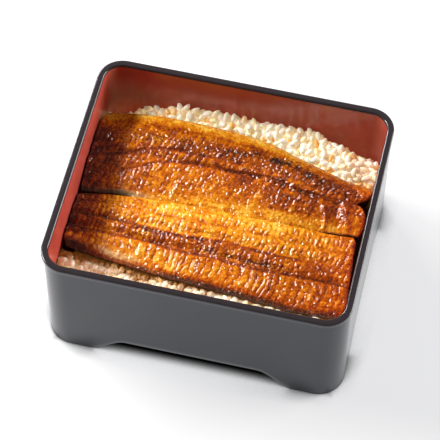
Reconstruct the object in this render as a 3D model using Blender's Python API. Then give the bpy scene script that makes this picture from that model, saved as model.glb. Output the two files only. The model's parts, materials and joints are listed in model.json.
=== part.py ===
"""Grilled eel on rice in its lacquered box.

Two glazed eel fillets lie side by side on a bed of rice in an upright box of black and red
lacquerware, whose four sides are arched at the foot.  Units are metres and +Z is up.  The origin
is the centre of the box's foot, +X runs along the long side and -Y is the front.
"""

import math
import random
from dataclasses import dataclass

import bmesh
import bpy
from mathutils import Euler, Matrix, Vector, noise

# The box, outside
BOX_LENGTH = 0.152
BOX_DEPTH = 0.129
BOX_HEIGHT = 0.069
RIM_CORNER_RADIUS = 0.013
RIM_BAND_HEIGHT = 0.0026
RIM_BAND_OVERHANG = 0.0007
RIM_BAND_BITE = 0.0003
RIM_EDGE_ROUNDING = 0.0006
WALL_CORNER_RADIUS = 0.0135

# The box, inside
WALL_THICKNESS = 0.0028
INNER_CORNER_RADIUS = 0.0095
RIM_INNER_BEVEL = 0.0007
FLOOR_UNDERSIDE = 0.0130
FLOOR_THICKNESS = 0.0030
FLOOR_FILLET = 0.0050
CORNER_SEGMENTS = 7

# The arches between the corner feet
ARCH_HEIGHT = 0.0115
ARCH_EASE = 0.0190
LONG_SIDE_FOOT = 0.0240
SHORT_SIDE_FOOT = 0.0240
ARCH_EASE_STEPS = 7

# The rice
FOOD_CLEARANCE = 0.0003
RICE_BED_LEVEL = 0.0410
RICE_BACK_RISE = 0.0030
RICE_FRONT_RISE = 0.0008
RICE_RISE_WIDTH = 0.0050
RICE_FALL_SLOPE = 1.7
RICE_FALL_DEPTH = 0.0150
RICE_CELL = 0.0048
RICE_LUMP = 0.0012
RICE_LUMP_SIZE = 0.0110
# How far back the heap reaches before it falls away, at places along the box
RICE_CREST = ((-0.0720, 0.0490), (-0.0480, 0.0545), (-0.0150, 0.0605), (0.0270, 0.0605),
              (0.0440, 0.0545), (0.0600, 0.0485), (0.0720, 0.0450))

# The grains
GRAIN_LENGTH = 0.0054
GRAIN_WIDTH = 0.0030
GRAIN_HEIGHT = 0.0026
GRAIN_SIDES = 6
GRAIN_BANDS = 3
GRAIN_SPACING = 0.0043
GRAIN_LIFT = 0.0010
GRAIN_TRIES = 9000
GRAIN_SEED = 11

# The fillets
FILLET_GAP = 0.0004
FILLET_UNDERSIDE = RICE_BED_LEVEL + FOOD_CLEARANCE
FILLET_UNDERCUT = 0.0009
SEAT_LIFT = 0.00005
FILLET_CELLS_ALONG = 60
FILLET_CELLS_ACROSS = 13
RIPPLE_PITCH = 0.0071
RIPPLE_HEIGHT = 0.00032
RIPPLE_SLANT = 0.25
RIPPLE_MARGIN = 0.16
FILLET_WAVE = 0.0005
FILLET_WAVE_SIZE = 0.0280
# The line where the two fillets meet, at places along the box
SEAM = ((-0.0720, -0.0035), (-0.0530, -0.0006), (-0.0400, 0.0000), (-0.0150, 0.0010),
        (0.0250, 0.0010), (0.0540, 0.0013), (0.0720, 0.0028))
BACK_EDGE = ((-0.0720, 0.0455), (-0.0640, 0.0478), (-0.0440, 0.0502), (-0.0250, 0.0505),
             (-0.0100, 0.0500), (0.0150, 0.0470), (0.0300, 0.0418), (0.0450, 0.0370),
             (0.0590, 0.0328), (0.0720, 0.0310))
FRONT_EDGE = ((-0.0720, -0.0350), (-0.0530, -0.0376), (-0.0280, -0.0403), (-0.0080, -0.0420),
              (0.0110, -0.0429), (0.0380, -0.0449), (0.0510, -0.0458), (0.0720, -0.0445))
# Ends of the fillets, as X at shares of the width from front edge to back edge
BACK_LEFT_END = ((0.0, -0.0714), (0.08, -0.0719), (0.90, -0.0719), (1.0, -0.0708))
BACK_RIGHT_END = ((0.0, 0.0665), (0.12, 0.0690), (0.32, 0.0702), (0.47, 0.0690), (0.60, 0.0658),
                  (0.74, 0.0700), (0.90, 0.0715), (1.0, 0.0698))
FRONT_LEFT_END = ((0.0, -0.0706), (0.10, -0.0719), (0.94, -0.0719), (1.0, -0.0714))
FRONT_RIGHT_END = ((0.0, 0.0696), (0.12, 0.0709), (0.45, 0.0701), (0.94, 0.0679), (1.0, 0.0670))
# Heights across the fillets, at shares of the width from front edge to back edge
BACK_SECTION = ((0.0, 0.0455), (0.08, 0.0471), (0.25, 0.0489), (0.41, 0.0498), (0.48, 0.0488),
                (0.54, 0.0499), (0.60, 0.0493), (0.70, 0.0500), (0.85, 0.0490), (0.94, 0.0480),
                (1.0, 0.0464))
FRONT_SECTION = ((0.0, 0.0440), (0.06, 0.0456), (0.20, 0.0471), (0.33, 0.0479), (0.39, 0.0466),
                 (0.46, 0.0479), (0.55, 0.0481), (0.60, 0.0473), (0.68, 0.0480), (0.85, 0.0472),
                 (0.95, 0.0463), (1.0, 0.0453))

# Colours and finishes
BLACK_LACQUER = (0.012, 0.011, 0.013)
RED_LACQUER = (0.40, 0.035, 0.022)
COOKED_RICE = (0.86, 0.74, 0.50)
GLAZED_EEL_BACK = (0.46, 0.115, 0.012)
GLAZED_EEL_FRONT = (0.56, 0.17, 0.014)

INNER_HALF_LENGTH = BOX_LENGTH / 2 - RIM_BAND_OVERHANG - WALL_THICKNESS
INNER_HALF_DEPTH = BOX_DEPTH / 2 - RIM_BAND_OVERHANG - WALL_THICKNESS
FLOOR_LEVEL = FLOOR_UNDERSIDE + FLOOR_THICKNESS
OVERSHOOT = 0.004


def clear_scene():
    """Remove every object, so that the script can be run again."""
    for found in list(bpy.data.objects):
        bpy.data.objects.remove(found, do_unlink=True)


def new_collection(name, parent=None):
    """Add a collection under the parent, or under the scene."""
    group = bpy.data.collections.new(name)
    (parent or bpy.context.scene.collection).children.link(group)
    return group


def principled(name, colour, roughness, metallic=0.0):
    """Make a material with one Principled shader."""
    material = bpy.data.materials.new(name)
    material.use_nodes = True
    shader = material.node_tree.nodes["Principled BSDF"]
    shader.inputs["Base Color"].default_value = (*colour, 1.0)
    shader.inputs["Roughness"].default_value = roughness
    shader.inputs["Metallic"].default_value = metallic
    material.diffuse_color = (*colour, 1.0)
    return material


def add_object(name, form, group, *materials):
    """Turn a bmesh into an object of the group, with its materials."""
    bmesh.ops.recalc_face_normals(form, faces=form.faces)
    mesh = bpy.data.meshes.new(name)
    form.to_mesh(mesh)
    form.free()
    for material in materials:
        mesh.materials.append(material)
    added = bpy.data.objects.new(name, mesh)
    group.objects.link(added)
    return added


def as_cutter(cutter):
    """Show a cutter as wires only."""
    cutter.hide_render = True
    cutter.display_type = "WIRE"
    return cutter


def evaluated_mesh(source):
    """Return a plain mesh of the object as its modifiers leave it."""
    bpy.context.view_layer.update()
    graph = bpy.context.evaluated_depsgraph_get()
    return bpy.data.meshes.new_from_object(source.evaluated_get(graph), depsgraph=graph)


def split_faces(form):
    """Split every face into triangles, so that none is bent."""
    bmesh.ops.triangulate(form, faces=form.faces)


def apply_modifiers(target):
    """Replace the object's mesh with its evaluated one in triangles, and drop its modifiers."""
    result = evaluated_mesh(target)
    target.modifiers.clear()
    form = bmesh.new()
    form.from_mesh(result)
    split_faces(form)
    form.to_mesh(result)
    form.free()
    target.data = result


def add_boolean(target, operation, cutter):
    """Add an exact Boolean with an object or a collection."""
    modifier = target.modifiers.new(operation.title(), "BOOLEAN")
    modifier.operation = operation
    modifier.solver = "EXACT"
    if isinstance(cutter, bpy.types.Collection):
        modifier.operand_type = "COLLECTION"
        modifier.collection = cutter
    else:
        modifier.object = cutter
    return modifier


def ease(share):
    """Smooth step from 0 to 1."""
    share = min(max(share, 0.0), 1.0)
    return share * share * (3.0 - 2.0 * share)


def follow(points, place):
    """Read the value at a place on the smooth curve through (place, value) points."""
    last = len(points) - 1
    if place <= points[0][0]:
        return points[0][1]
    if place >= points[last][0]:
        return points[last][1]
    index = max(i for i in range(last) if points[i][0] <= place)
    (x0, y0), (x1, y1) = points[index], points[index + 1]

    def slope(i):
        low, high = max(i - 1, 0), min(i + 1, last)
        return (points[high][1] - points[low][1]) / (points[high][0] - points[low][0])

    run = x1 - x0
    t = (place - x0) / run
    rise0, rise1 = slope(index) * run, slope(index + 1) * run
    return ((2 * t**3 - 3 * t**2 + 1) * y0 + (t**3 - 2 * t**2 + t) * rise0
            + (3 * t**2 - 2 * t**3) * y1 + (t**3 - t**2) * rise1)


def rounded_block(half_length, half_depth, bottom, top, corner):
    """Make an upright block with rounded corners, centred on the Z axis."""
    form = bmesh.new()
    bmesh.ops.create_cube(form, size=1.0)
    bmesh.ops.scale(form, vec=(2 * half_length, 2 * half_depth, top - bottom), verts=form.verts)
    bmesh.ops.translate(form, vec=(0.0, 0.0, (top + bottom) / 2), verts=form.verts)
    upright = [edge for edge in form.edges
               if abs(edge.verts[0].co.z - edge.verts[1].co.z) > (top - bottom) / 2]
    bmesh.ops.bevel(form, geom=upright, offset=corner, segments=CORNER_SEGMENTS, profile=0.5,
                    affect="EDGES")
    return form


def round_level(form, level, radius, segments):
    """Round the edges of a block that lie at one level."""
    edges = [edge for edge in form.edges
             if all(abs(vertex.co.z - level) < 1e-6 for vertex in edge.verts)]
    bmesh.ops.bevel(form, geom=edges, offset=radius, segments=segments, profile=0.5,
                    affect="EDGES")


def flare_level(form, level, half_length, half_depth, corner, growth):
    """Move the vertices at one level outwards, square to a rounded outline."""
    for vertex in form.verts:
        if abs(vertex.co.z - level) > 1e-6:
            continue
        centre = Vector((math.copysign(half_length - corner, vertex.co.x),
                         math.copysign(half_depth - corner, vertex.co.y), level))
        vertex.co += (vertex.co - centre).normalized() * growth


def arch_outline(half_span):
    """Return the outline of one arched cut: two eased ends and a level top."""
    side = []
    for step in range(ARCH_EASE_STEPS + 1):
        share = step / ARCH_EASE_STEPS
        side.append((half_span - ARCH_EASE * share, ARCH_HEIGHT * (1 - math.cos(math.pi * share)) / 2))
    right = [(half_span, -OVERSHOOT)] + side
    left = [(-x, z) for x, z in reversed(right)]
    return right + left


def arch_cutter(name, half_span, half_reach, turn, group):
    """Make an arched cutter that passes through two opposite sides of the box."""
    outline = arch_outline(half_span)
    curve = bpy.data.curves.new(name + "_outline", "CURVE")
    curve.dimensions = "2D"
    curve.fill_mode = "BOTH"
    curve.extrude = half_reach
    spline = curve.splines.new("POLY")
    spline.points.add(len(outline) - 1)
    for point, (x, z) in zip(spline.points, outline):
        point.co = (x, z, 0.0, 1.0)
    spline.use_cyclic_u = True
    drawn = bpy.data.objects.new(name + "_outline", curve)
    drawn.rotation_euler = (math.radians(90), 0.0, turn)
    group.objects.link(drawn)
    mesh = evaluated_mesh(drawn)
    welded = bmesh.new()
    welded.from_mesh(mesh)
    bmesh.ops.remove_doubles(welded, verts=welded.verts, dist=1e-6)
    cutter = add_object(name, welded, group)
    cutter.matrix_world = drawn.matrix_world.copy()
    bpy.data.objects.remove(drawn, do_unlink=True)
    return as_cutter(cutter)


def make_box(parts, cutters):
    """Model the box: upright walls, a rim band, a raised floor and arched sides."""
    black = principled("black_lacquer", BLACK_LACQUER, 0.18)
    red = principled("red_lacquer", RED_LACQUER, 0.22)

    wall_half_length = BOX_LENGTH / 2 - RIM_BAND_OVERHANG
    wall_half_depth = BOX_DEPTH / 2 - RIM_BAND_OVERHANG
    rim_underside = BOX_HEIGHT - RIM_BAND_HEIGHT
    body = rounded_block(wall_half_length, wall_half_depth, 0.0, rim_underside + RIM_BAND_BITE,
                         WALL_CORNER_RADIUS)
    box = add_object("lacquer_box", body, parts, black, red)

    band = rounded_block(BOX_LENGTH / 2, BOX_DEPTH / 2, rim_underside, BOX_HEIGHT, RIM_CORNER_RADIUS)
    round_level(band, BOX_HEIGHT, RIM_EDGE_ROUNDING, 2)
    add_boolean(box, "UNION", as_cutter(add_object("rim_band", band, cutters, black)))

    inside = (INNER_HALF_LENGTH, INNER_HALF_DEPTH)
    cavity = rounded_block(*inside, FLOOR_LEVEL, BOX_HEIGHT + OVERSHOOT, INNER_CORNER_RADIUS)
    round_level(cavity, FLOOR_LEVEL, FLOOR_FILLET, 3)
    flare = rounded_block(*inside, BOX_HEIGHT - RIM_INNER_BEVEL, BOX_HEIGHT + OVERSHOOT,
                          INNER_CORNER_RADIUS)
    flare_level(flare, BOX_HEIGHT + OVERSHOOT, *inside, INNER_CORNER_RADIUS,
                RIM_INNER_BEVEL + OVERSHOOT)
    recess = rounded_block(*inside, -OVERSHOOT, FLOOR_UNDERSIDE, INNER_CORNER_RADIUS)
    for name, form, coat in (("cavity", cavity, 1), ("rim_bevel", flare, 1), ("recess", recess, 0)):
        for face in form.faces:
            face.material_index = coat
        add_boolean(box, "DIFFERENCE", as_cutter(add_object(name, form, cutters, black, red)))

    long_arch = arch_cutter("long_side_arch", BOX_LENGTH / 2 - LONG_SIDE_FOOT,
                            BOX_DEPTH / 2 + OVERSHOOT, 0.0, cutters)
    short_arch = arch_cutter("short_side_arch", BOX_DEPTH / 2 - SHORT_SIDE_FOOT,
                             BOX_LENGTH / 2 + OVERSHOOT, math.radians(90), cutters)
    add_boolean(box, "DIFFERENCE", long_arch)
    add_boolean(box, "DIFFERENCE", short_arch)
    return box


@dataclass(frozen=True)
class Fillet:
    """One eel fillet: its outline, its heights and its solid."""

    name: str
    front: tuple
    back: tuple
    left_end: tuple
    right_end: tuple
    section: tuple
    front_gap: float = 0.0
    back_gap: float = 0.0

    def front_y(self, x):
        """Return the front edge's Y at a place along the box."""
        return follow(self.front, x) + self.front_gap

    def back_y(self, x):
        """Return the back edge's Y at a place along the box."""
        return follow(self.back, x) - self.back_gap

    def place(self, along, across):
        """Return X and Y at shares of the length and the width."""
        left, right = follow(self.left_end, across), follow(self.right_end, across)
        x = left + (right - left) * along
        return x, self.front_y(x) + (self.back_y(x) - self.front_y(x)) * across

    def height(self, x, y, across):
        """Return the glazed top's height, with its furrows, ripples and slow waves."""
        level = follow(self.section, across)
        inner = ease(across / RIPPLE_MARGIN) * ease((1 - across) / RIPPLE_MARGIN)
        ripple = math.sin(2 * math.pi * (x - y * RIPPLE_SLANT) / RIPPLE_PITCH)
        wave = noise.noise(Vector((x, y, level)) / FILLET_WAVE_SIZE)
        return level + RIPPLE_HEIGHT * ripple * inner + FILLET_WAVE * wave

    def outline(self, growth=0.0):
        """Return the outline as points, moved outwards by growth."""
        rim = [(step / FILLET_CELLS_ALONG, 0.0) for step in range(FILLET_CELLS_ALONG)]
        rim += [(1.0, step / FILLET_CELLS_ACROSS) for step in range(FILLET_CELLS_ACROSS)]
        rim += [(1.0 - step / FILLET_CELLS_ALONG, 1.0) for step in range(FILLET_CELLS_ALONG)]
        rim += [(0.0, 1.0 - step / FILLET_CELLS_ACROSS) for step in range(FILLET_CELLS_ACROSS)]
        points = [Vector(self.place(*share)) for share in rim]
        grown = []
        for index, point in enumerate(points):
            run = points[(index + 1) % len(points)] - points[index - 1]
            outwards = Vector((run.y, -run.x)).normalized()
            grown.append(point + outwards * growth)
        return grown

    def holds(self, x, y, margin):
        """Tell whether a point lies over the fillet, or nearer to it than the margin."""
        across = (y - self.front_y(x)) / (self.back_y(x) - self.front_y(x))
        across = min(max(across, 0.0), 1.0)
        left, right = follow(self.left_end, across), follow(self.right_end, across)
        between_ends = left - margin < x < right + margin
        return between_ends and self.front_y(x) - margin < y < self.back_y(x) + margin

    def build(self, parts, material):
        """Model the solid from a grid drawn out to a slab with a flat underside."""
        form = bmesh.new()
        bmesh.ops.create_grid(form, x_segments=FILLET_CELLS_ALONG, y_segments=FILLET_CELLS_ACROSS,
                              size=0.5)
        top = list(form.faces)
        drawn = bmesh.ops.extrude_face_region(form, geom=top, use_keep_orig=True)["geom"]
        lower = [item for item in drawn if isinstance(item, bmesh.types.BMVert)]
        under = [item for item in drawn if isinstance(item, bmesh.types.BMFace)]
        lower_set = set(lower)
        for vertex in form.verts:
            along, across = vertex.co.x + 0.5, vertex.co.y + 0.5
            x, y = self.place(along, across)
            if vertex in lower_set:
                x -= math.copysign(FILLET_UNDERCUT, along - 0.5) * (along in (0.0, 1.0))
                y -= math.copysign(FILLET_UNDERCUT, across - 0.5) * (across in (0.0, 1.0))
                vertex.co = (x, y, FILLET_UNDERSIDE)
            else:
                vertex.co = (x, y, self.height(x, y, across))
        bmesh.ops.dissolve_faces(form, faces=under)
        return add_object(self.name, form, parts, material)

    def seat(self, cutters):
        """Make the cutter that keeps the rice clear of the fillet."""
        form = bmesh.new()
        bottom = RICE_BED_LEVEL + SEAT_LIFT
        ring = [form.verts.new((point.x, point.y, bottom)) for point in self.outline(FILLET_GAP)]
        face = form.faces.new(ring)
        raised = bmesh.ops.extrude_face_region(form, geom=[face], use_keep_orig=True)["geom"]
        upper = [item for item in raised if isinstance(item, bmesh.types.BMVert)]
        bmesh.ops.translate(form, vec=(0.0, 0.0, BOX_HEIGHT - bottom), verts=upper)
        return as_cutter(add_object(self.name + "_seat", form, cutters))


def rice_level(x, y, fillets):
    """Return the height of the packed rice under its top grains."""
    reach = max(fillet.back_y(x) for fillet in fillets)
    front = min(fillet.front_y(x) for fillet in fillets)
    level = RICE_BED_LEVEL
    level += RICE_BACK_RISE * ease((y - reach - RICE_CELL / 2) / RICE_RISE_WIDTH)
    level += RICE_FRONT_RISE * ease((front - y - RICE_CELL / 2) / RICE_RISE_WIDTH)
    beyond = y - follow(RICE_CREST, x)
    if beyond > 0.0:
        level -= min(beyond * RICE_FALL_SLOPE, RICE_FALL_DEPTH)
    if level > RICE_BED_LEVEL or beyond > 0.0:
        level += RICE_LUMP * noise.noise(Vector((x, y, 0.0)) / RICE_LUMP_SIZE)
    return level


def grain_form(length, turn):
    """Make one grain: a long ball with few sides, turned and moved to its place."""
    form = bmesh.new()
    bmesh.ops.create_uvsphere(form, u_segments=GRAIN_SIDES, v_segments=GRAIN_BANDS, radius=0.5)
    shape = Matrix.Diagonal((GRAIN_WIDTH, GRAIN_HEIGHT, length, 1.0))
    bmesh.ops.transform(form, matrix=turn @ shape, verts=form.verts)
    return form


def in_cavity(x, y, margin):
    """Tell whether a point lies inside the box's walls by at least the margin."""
    radius = INNER_CORNER_RADIUS - margin
    past_x = max(abs(x) - (INNER_HALF_LENGTH - INNER_CORNER_RADIUS), 0.0)
    past_y = max(abs(y) - (INNER_HALF_DEPTH - INNER_CORNER_RADIUS), 0.0)
    return math.hypot(past_x, past_y) < radius


def scatter_grains(fillets, group, material):
    """Lay grains over the rice that shows, spread evenly and turned at random."""
    draw = random.Random(GRAIN_SEED)
    laid = []
    for _ in range(GRAIN_TRIES):
        x = draw.uniform(-INNER_HALF_LENGTH, INNER_HALF_LENGTH)
        y = draw.uniform(-INNER_HALF_DEPTH, INNER_HALF_DEPTH)
        length = GRAIN_LENGTH * draw.uniform(0.85, 1.1)
        angles = Euler((math.radians(90 + draw.gauss(0, 20)), 0.0, draw.uniform(0.0, math.pi)))
        if any(fillet.holds(x, y, GRAIN_WIDTH / 3) for fillet in fillets):
            continue
        if any(math.dist((x, y), other) < GRAIN_SPACING for other in laid):
            continue
        lift = rice_level(x, y, fillets) + GRAIN_LIFT
        form = grain_form(length, Matrix.Translation((x, y, lift)) @ angles.to_matrix().to_4x4())
        if not all(in_cavity(vertex.co.x, vertex.co.y, FOOD_CLEARANCE) for vertex in form.verts):
            form.free()
            continue
        laid.append((x, y))
        add_object(f"grain_{len(laid):03d}", form, group, material)
    return laid


def keep_main_body(target):
    """Drop loose scraps and sealed hollows, so that one closed body is left."""
    form = bmesh.new()
    form.from_mesh(target.data)
    waiting = set(form.faces)
    bodies = []
    while waiting:
        body = {waiting.pop()}
        edge_of_search = list(body)
        while edge_of_search:
            face = edge_of_search.pop()
            for edge in face.edges:
                for neighbour in edge.link_faces:
                    if neighbour in waiting:
                        waiting.remove(neighbour)
                        body.add(neighbour)
                        edge_of_search.append(neighbour)
        bodies.append(body)
    main = max(bodies, key=len)
    scraps = [face for body in bodies if body is not main for face in body]
    bmesh.ops.delete(form, geom=scraps, context="FACES")
    form.to_mesh(target.data)
    form.free()


def make_rice(fillets, parts, cutters):
    """Model the rice: a packed bed with an uneven top and the grains that show fused on."""
    material = principled("cooked_rice", COOKED_RICE, 0.45)
    bed = rounded_block(INNER_HALF_LENGTH - FOOD_CLEARANCE, INNER_HALF_DEPTH - FOOD_CLEARANCE,
                        FLOOR_LEVEL + FOOD_CLEARANCE, BOX_HEIGHT - RIM_BAND_HEIGHT,
                        INNER_CORNER_RADIUS - FOOD_CLEARANCE)
    round_level(bed, FLOOR_LEVEL + FOOD_CLEARANCE, FLOOR_FILLET, 3)
    rice = add_object("rice_bed", bed, parts, material)

    above = bmesh.new()
    cells_along = round(BOX_LENGTH / RICE_CELL)
    cells_across = round(BOX_DEPTH / RICE_CELL)
    bmesh.ops.create_grid(above, x_segments=cells_along, y_segments=cells_across, size=0.5)
    sheet = list(above.faces)
    raised = bmesh.ops.extrude_face_region(above, geom=sheet, use_keep_orig=True)["geom"]
    roof = {item for item in raised if isinstance(item, bmesh.types.BMVert)}
    for vertex in above.verts:
        x, y = vertex.co.x * BOX_LENGTH, vertex.co.y * BOX_DEPTH
        level = BOX_HEIGHT if vertex in roof else rice_level(x, y, fillets)
        vertex.co = (x, y, level)
    bmesh.ops.dissolve_faces(above, faces=[f for f in raised if isinstance(f, bmesh.types.BMFace)])
    flats = [edge for edge in above.edges
             if all(abs(vertex.co.z - RICE_BED_LEVEL) < 1e-7 for vertex in edge.verts)]
    bmesh.ops.dissolve_limit(above, angle_limit=math.radians(0.2), edges=flats,
                             verts=list({v for edge in flats for v in edge.verts}))
    split_faces(above)
    add_boolean(rice, "DIFFERENCE", as_cutter(add_object("air_above_rice", above, cutters)))
    apply_modifiers(rice)

    loose = new_collection("grains", cutters)
    scatter_grains(fillets, loose, material)
    add_boolean(rice, "UNION", loose)
    apply_modifiers(rice)
    for grain in list(loose.objects):
        bpy.data.objects.remove(grain, do_unlink=True)
    bpy.data.collections.remove(loose)

    for fillet in fillets:
        add_boolean(rice, "DIFFERENCE", fillet.seat(cutters))
    apply_modifiers(rice)
    keep_main_body(rice)
    return rice


def main():
    """Build the whole dish."""
    clear_scene()
    parts = new_collection("grilled_eel_on_rice")
    cutters = new_collection("cutters")
    half_gap = FILLET_GAP / 2
    back = Fillet("eel_fillet_back", SEAM, BACK_EDGE, BACK_LEFT_END, BACK_RIGHT_END, BACK_SECTION,
                  front_gap=half_gap)
    front = Fillet("eel_fillet_front", FRONT_EDGE, SEAM, FRONT_LEFT_END, FRONT_RIGHT_END,
                   FRONT_SECTION, back_gap=half_gap)
    make_box(parts, cutters)
    make_rice((back, front), parts, cutters)
    back.build(parts, principled("glazed_eel_back", GLAZED_EEL_BACK, 0.22))
    front.build(parts, principled("glazed_eel_front", GLAZED_EEL_FRONT, 0.22))


main()
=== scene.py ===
"""Grilled eel on rice in its lacquered box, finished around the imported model.

Metres, +Z up.  The origin is the centre of the box's foot, +X runs along the long side and -Y is
the front.  The box is lacquerware, black outside and red inside.  The rice is a packed core under
loose grains, and each fillet is one closed form with its rows of muscle, furrows and glaze.
"""

import json
import logging
import math
from collections.abc import Callable, Iterable
from dataclasses import dataclass, field
from enum import Enum

import bmesh
import bpy
import numpy as np
from mathutils import Matrix, Vector, noise

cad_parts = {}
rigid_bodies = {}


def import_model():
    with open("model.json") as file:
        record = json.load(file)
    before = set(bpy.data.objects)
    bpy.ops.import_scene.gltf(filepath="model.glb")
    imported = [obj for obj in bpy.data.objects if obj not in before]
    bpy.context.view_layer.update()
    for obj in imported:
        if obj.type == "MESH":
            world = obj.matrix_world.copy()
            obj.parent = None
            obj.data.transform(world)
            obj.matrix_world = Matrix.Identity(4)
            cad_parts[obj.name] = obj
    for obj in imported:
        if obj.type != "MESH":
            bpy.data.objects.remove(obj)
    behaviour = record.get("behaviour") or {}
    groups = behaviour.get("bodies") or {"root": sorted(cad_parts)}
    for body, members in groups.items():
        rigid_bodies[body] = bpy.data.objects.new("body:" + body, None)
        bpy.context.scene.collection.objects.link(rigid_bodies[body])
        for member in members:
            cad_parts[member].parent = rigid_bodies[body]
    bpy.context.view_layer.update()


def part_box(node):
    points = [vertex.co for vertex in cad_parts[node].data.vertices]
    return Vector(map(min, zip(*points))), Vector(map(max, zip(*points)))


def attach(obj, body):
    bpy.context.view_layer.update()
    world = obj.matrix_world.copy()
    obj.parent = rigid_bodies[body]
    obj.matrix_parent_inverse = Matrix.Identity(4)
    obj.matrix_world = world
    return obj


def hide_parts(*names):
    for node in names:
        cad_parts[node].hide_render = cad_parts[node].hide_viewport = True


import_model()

LOG = logging.getLogger("grilled_eel_on_rice")
MM = 0.001
BODY = "root"
Line = Callable[[np.ndarray], np.ndarray]


def linear(hex_code: str) -> tuple[float, float, float, float]:
    """Turn an sRGB colour into the linear one that shaders take.

    Args:
        hex_code: Six hex digits after a number sign.

    Returns:
        Linear red, green and blue, with an alpha of 1.
    """
    shares = [int(hex_code[start:start + 2], 16) / 255 for start in (1, 3, 5)]
    bent = [s / 12.92 if s <= 0.04045 else ((s + 0.055) / 1.055) ** 2.4 for s in shares]
    return (*bent, 1.0)


def add_node(tree: bpy.types.NodeTree, kind: str, settings: dict | None = None,
             inputs: dict | None = None, stops: Iterable[tuple[float, str]] = ()) -> bpy.types.Node:
    """Add a node with its settings and links.

    Args:
        tree: The node tree that takes the node.
        kind: The node's type name.
        settings: Values for the node's own attributes.
        inputs: A value or another node's output for each input, by name or number.
        stops: Places and sRGB colours of a colour ramp.

    Returns:
        The new node.
    """
    node = tree.nodes.new(kind)
    for name, value in (settings or {}).items():
        setattr(node, name, value)
    for key, value in (inputs or {}).items():
        if isinstance(value, bpy.types.NodeSocket):
            tree.links.new(value, node.inputs[key])
        else:
            node.inputs[key].default_value = value
    stops = list(stops)
    for index, (place, colour) in enumerate(stops):
        elements = node.color_ramp.elements
        stop = elements[index] if index < 2 else elements.new(place)
        stop.position, stop.color = place, linear(colour)
    return node


def new_material(name: str) -> tuple[bpy.types.Material, bpy.types.NodeTree, bpy.types.NodeSocket]:
    """Make an empty node material.

    Args:
        name: The finish's name.

    Returns:
        The material, its node tree, and the place on the piece that textures read.
    """
    material = bpy.data.materials.new(name)
    material.use_nodes = True
    tree = material.node_tree
    tree.nodes.clear()
    return material, tree, add_node(tree, "ShaderNodeTexCoord").outputs["Object"]


def close_material(material: bpy.types.Material, inputs: dict,
                   settings: dict | None = None) -> bpy.types.Material:
    """Close a material with its one shader.

    Args:
        material: The material.
        inputs: The shader's inputs, as add_node takes them.
        settings: Values for the shader's own attributes.

    Returns:
        The material.
    """
    shader = add_node(material.node_tree, "ShaderNodeBsdfPrincipled", settings, inputs)
    add_node(material.node_tree, "ShaderNodeOutputMaterial", inputs={"Surface": shader.outputs[0]})
    return material


def add_noise(tree: bpy.types.NodeTree, place: bpy.types.NodeSocket, size_mm: float,
              **more: float) -> bpy.types.NodeSocket:
    """Add a noise texture with marks of a size in millimetres, and return its strength."""
    inputs = {"Vector": place, "Scale": 1.0 / (size_mm * MM), **more}
    return add_node(tree, "ShaderNodeTexNoise", inputs=inputs).outputs["Fac"]


def add_math(tree: bpy.types.NodeTree, operation: str, *values: bpy.types.NodeSocket | float,
             clamp: bool = False) -> bpy.types.NodeSocket:
    """Add a calculation with numbers, and return its result."""
    settings = {"operation": operation, "use_clamp": clamp}
    return add_node(tree, "ShaderNodeMath", settings, dict(enumerate(values))).outputs[0]


def add_blend(tree: bpy.types.NodeTree, share: bpy.types.NodeSocket | float, first: bpy.types.NodeSocket,
              second: bpy.types.NodeSocket | tuple, kind: str = "MIX") -> bpy.types.NodeSocket:
    """Add a blend of two colours by a share of the second, and return its result."""
    settings = {"data_type": "RGBA", "blend_type": kind}
    return add_node(tree, "ShaderNodeMix", settings, {"Factor": share, 6: first, 7: second}).outputs[2]


def add_range(tree: bpy.types.NodeTree, value: bpy.types.NodeSocket,
              source: tuple[float, float] = (0.0, 1.0), target: tuple[float, float] = (0.0, 1.0),
              kind: str = "LINEAR") -> bpy.types.NodeSocket:
    """Add a map from one range of numbers to another, held at both ends, and return its result."""
    inputs = dict(zip(("Value", "From Min", "From Max", "To Min", "To Max"), (value, *source, *target)))
    return add_node(tree, "ShaderNodeMapRange", {"interpolation_type": kind}, inputs).outputs["Result"]


def add_bump(tree: bpy.types.NodeTree, height: bpy.types.NodeSocket, distance: float,
             strength: float) -> bpy.types.NodeSocket:
    """Add a bump from a height, and return its normal."""
    inputs = {"Strength": strength, "Distance": distance, "Height": height}
    return add_node(tree, "ShaderNodeBump", inputs=inputs).outputs["Normal"]


def add_mark(tree: bpy.types.NodeTree, mark: str) -> bpy.types.NodeSocket:
    """Read one of the marks that a piece's points carry."""
    return add_node(tree, "ShaderNodeAttribute", {"attribute_name": mark}).outputs["Fac"]


def add_ramp(tree: bpy.types.NodeTree, share: bpy.types.NodeSocket,
             *stops: tuple[float, str]) -> bpy.types.NodeSocket:
    """Add a colour ramp with stops at shares between 0 and 1, and return its colour."""
    return add_node(tree, "ShaderNodeValToRGB", inputs={"Fac": share}, stops=stops).outputs["Color"]


def add_object(name: str, data: bpy.types.ID) -> bpy.types.Object:
    """Put a new object with some data into the scene, at the origin.

    Args:
        name: The object's name.
        data: Its mesh, light or camera.

    Returns:
        The object.
    """
    placed = bpy.data.objects.new(name, data)
    bpy.context.scene.collection.objects.link(placed)
    return placed


def bell(off: np.ndarray) -> np.ndarray:
    """Return shares that are 1 where the offset is 0 and fall away on both sides."""
    return np.exp(-off ** 2)


def smooth_step(share: np.ndarray) -> np.ndarray:
    """Ease shares between 0 and 1."""
    share = np.clip(share, 0.0, 1.0)
    return share * share * (3.0 - 2.0 * share)


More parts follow.
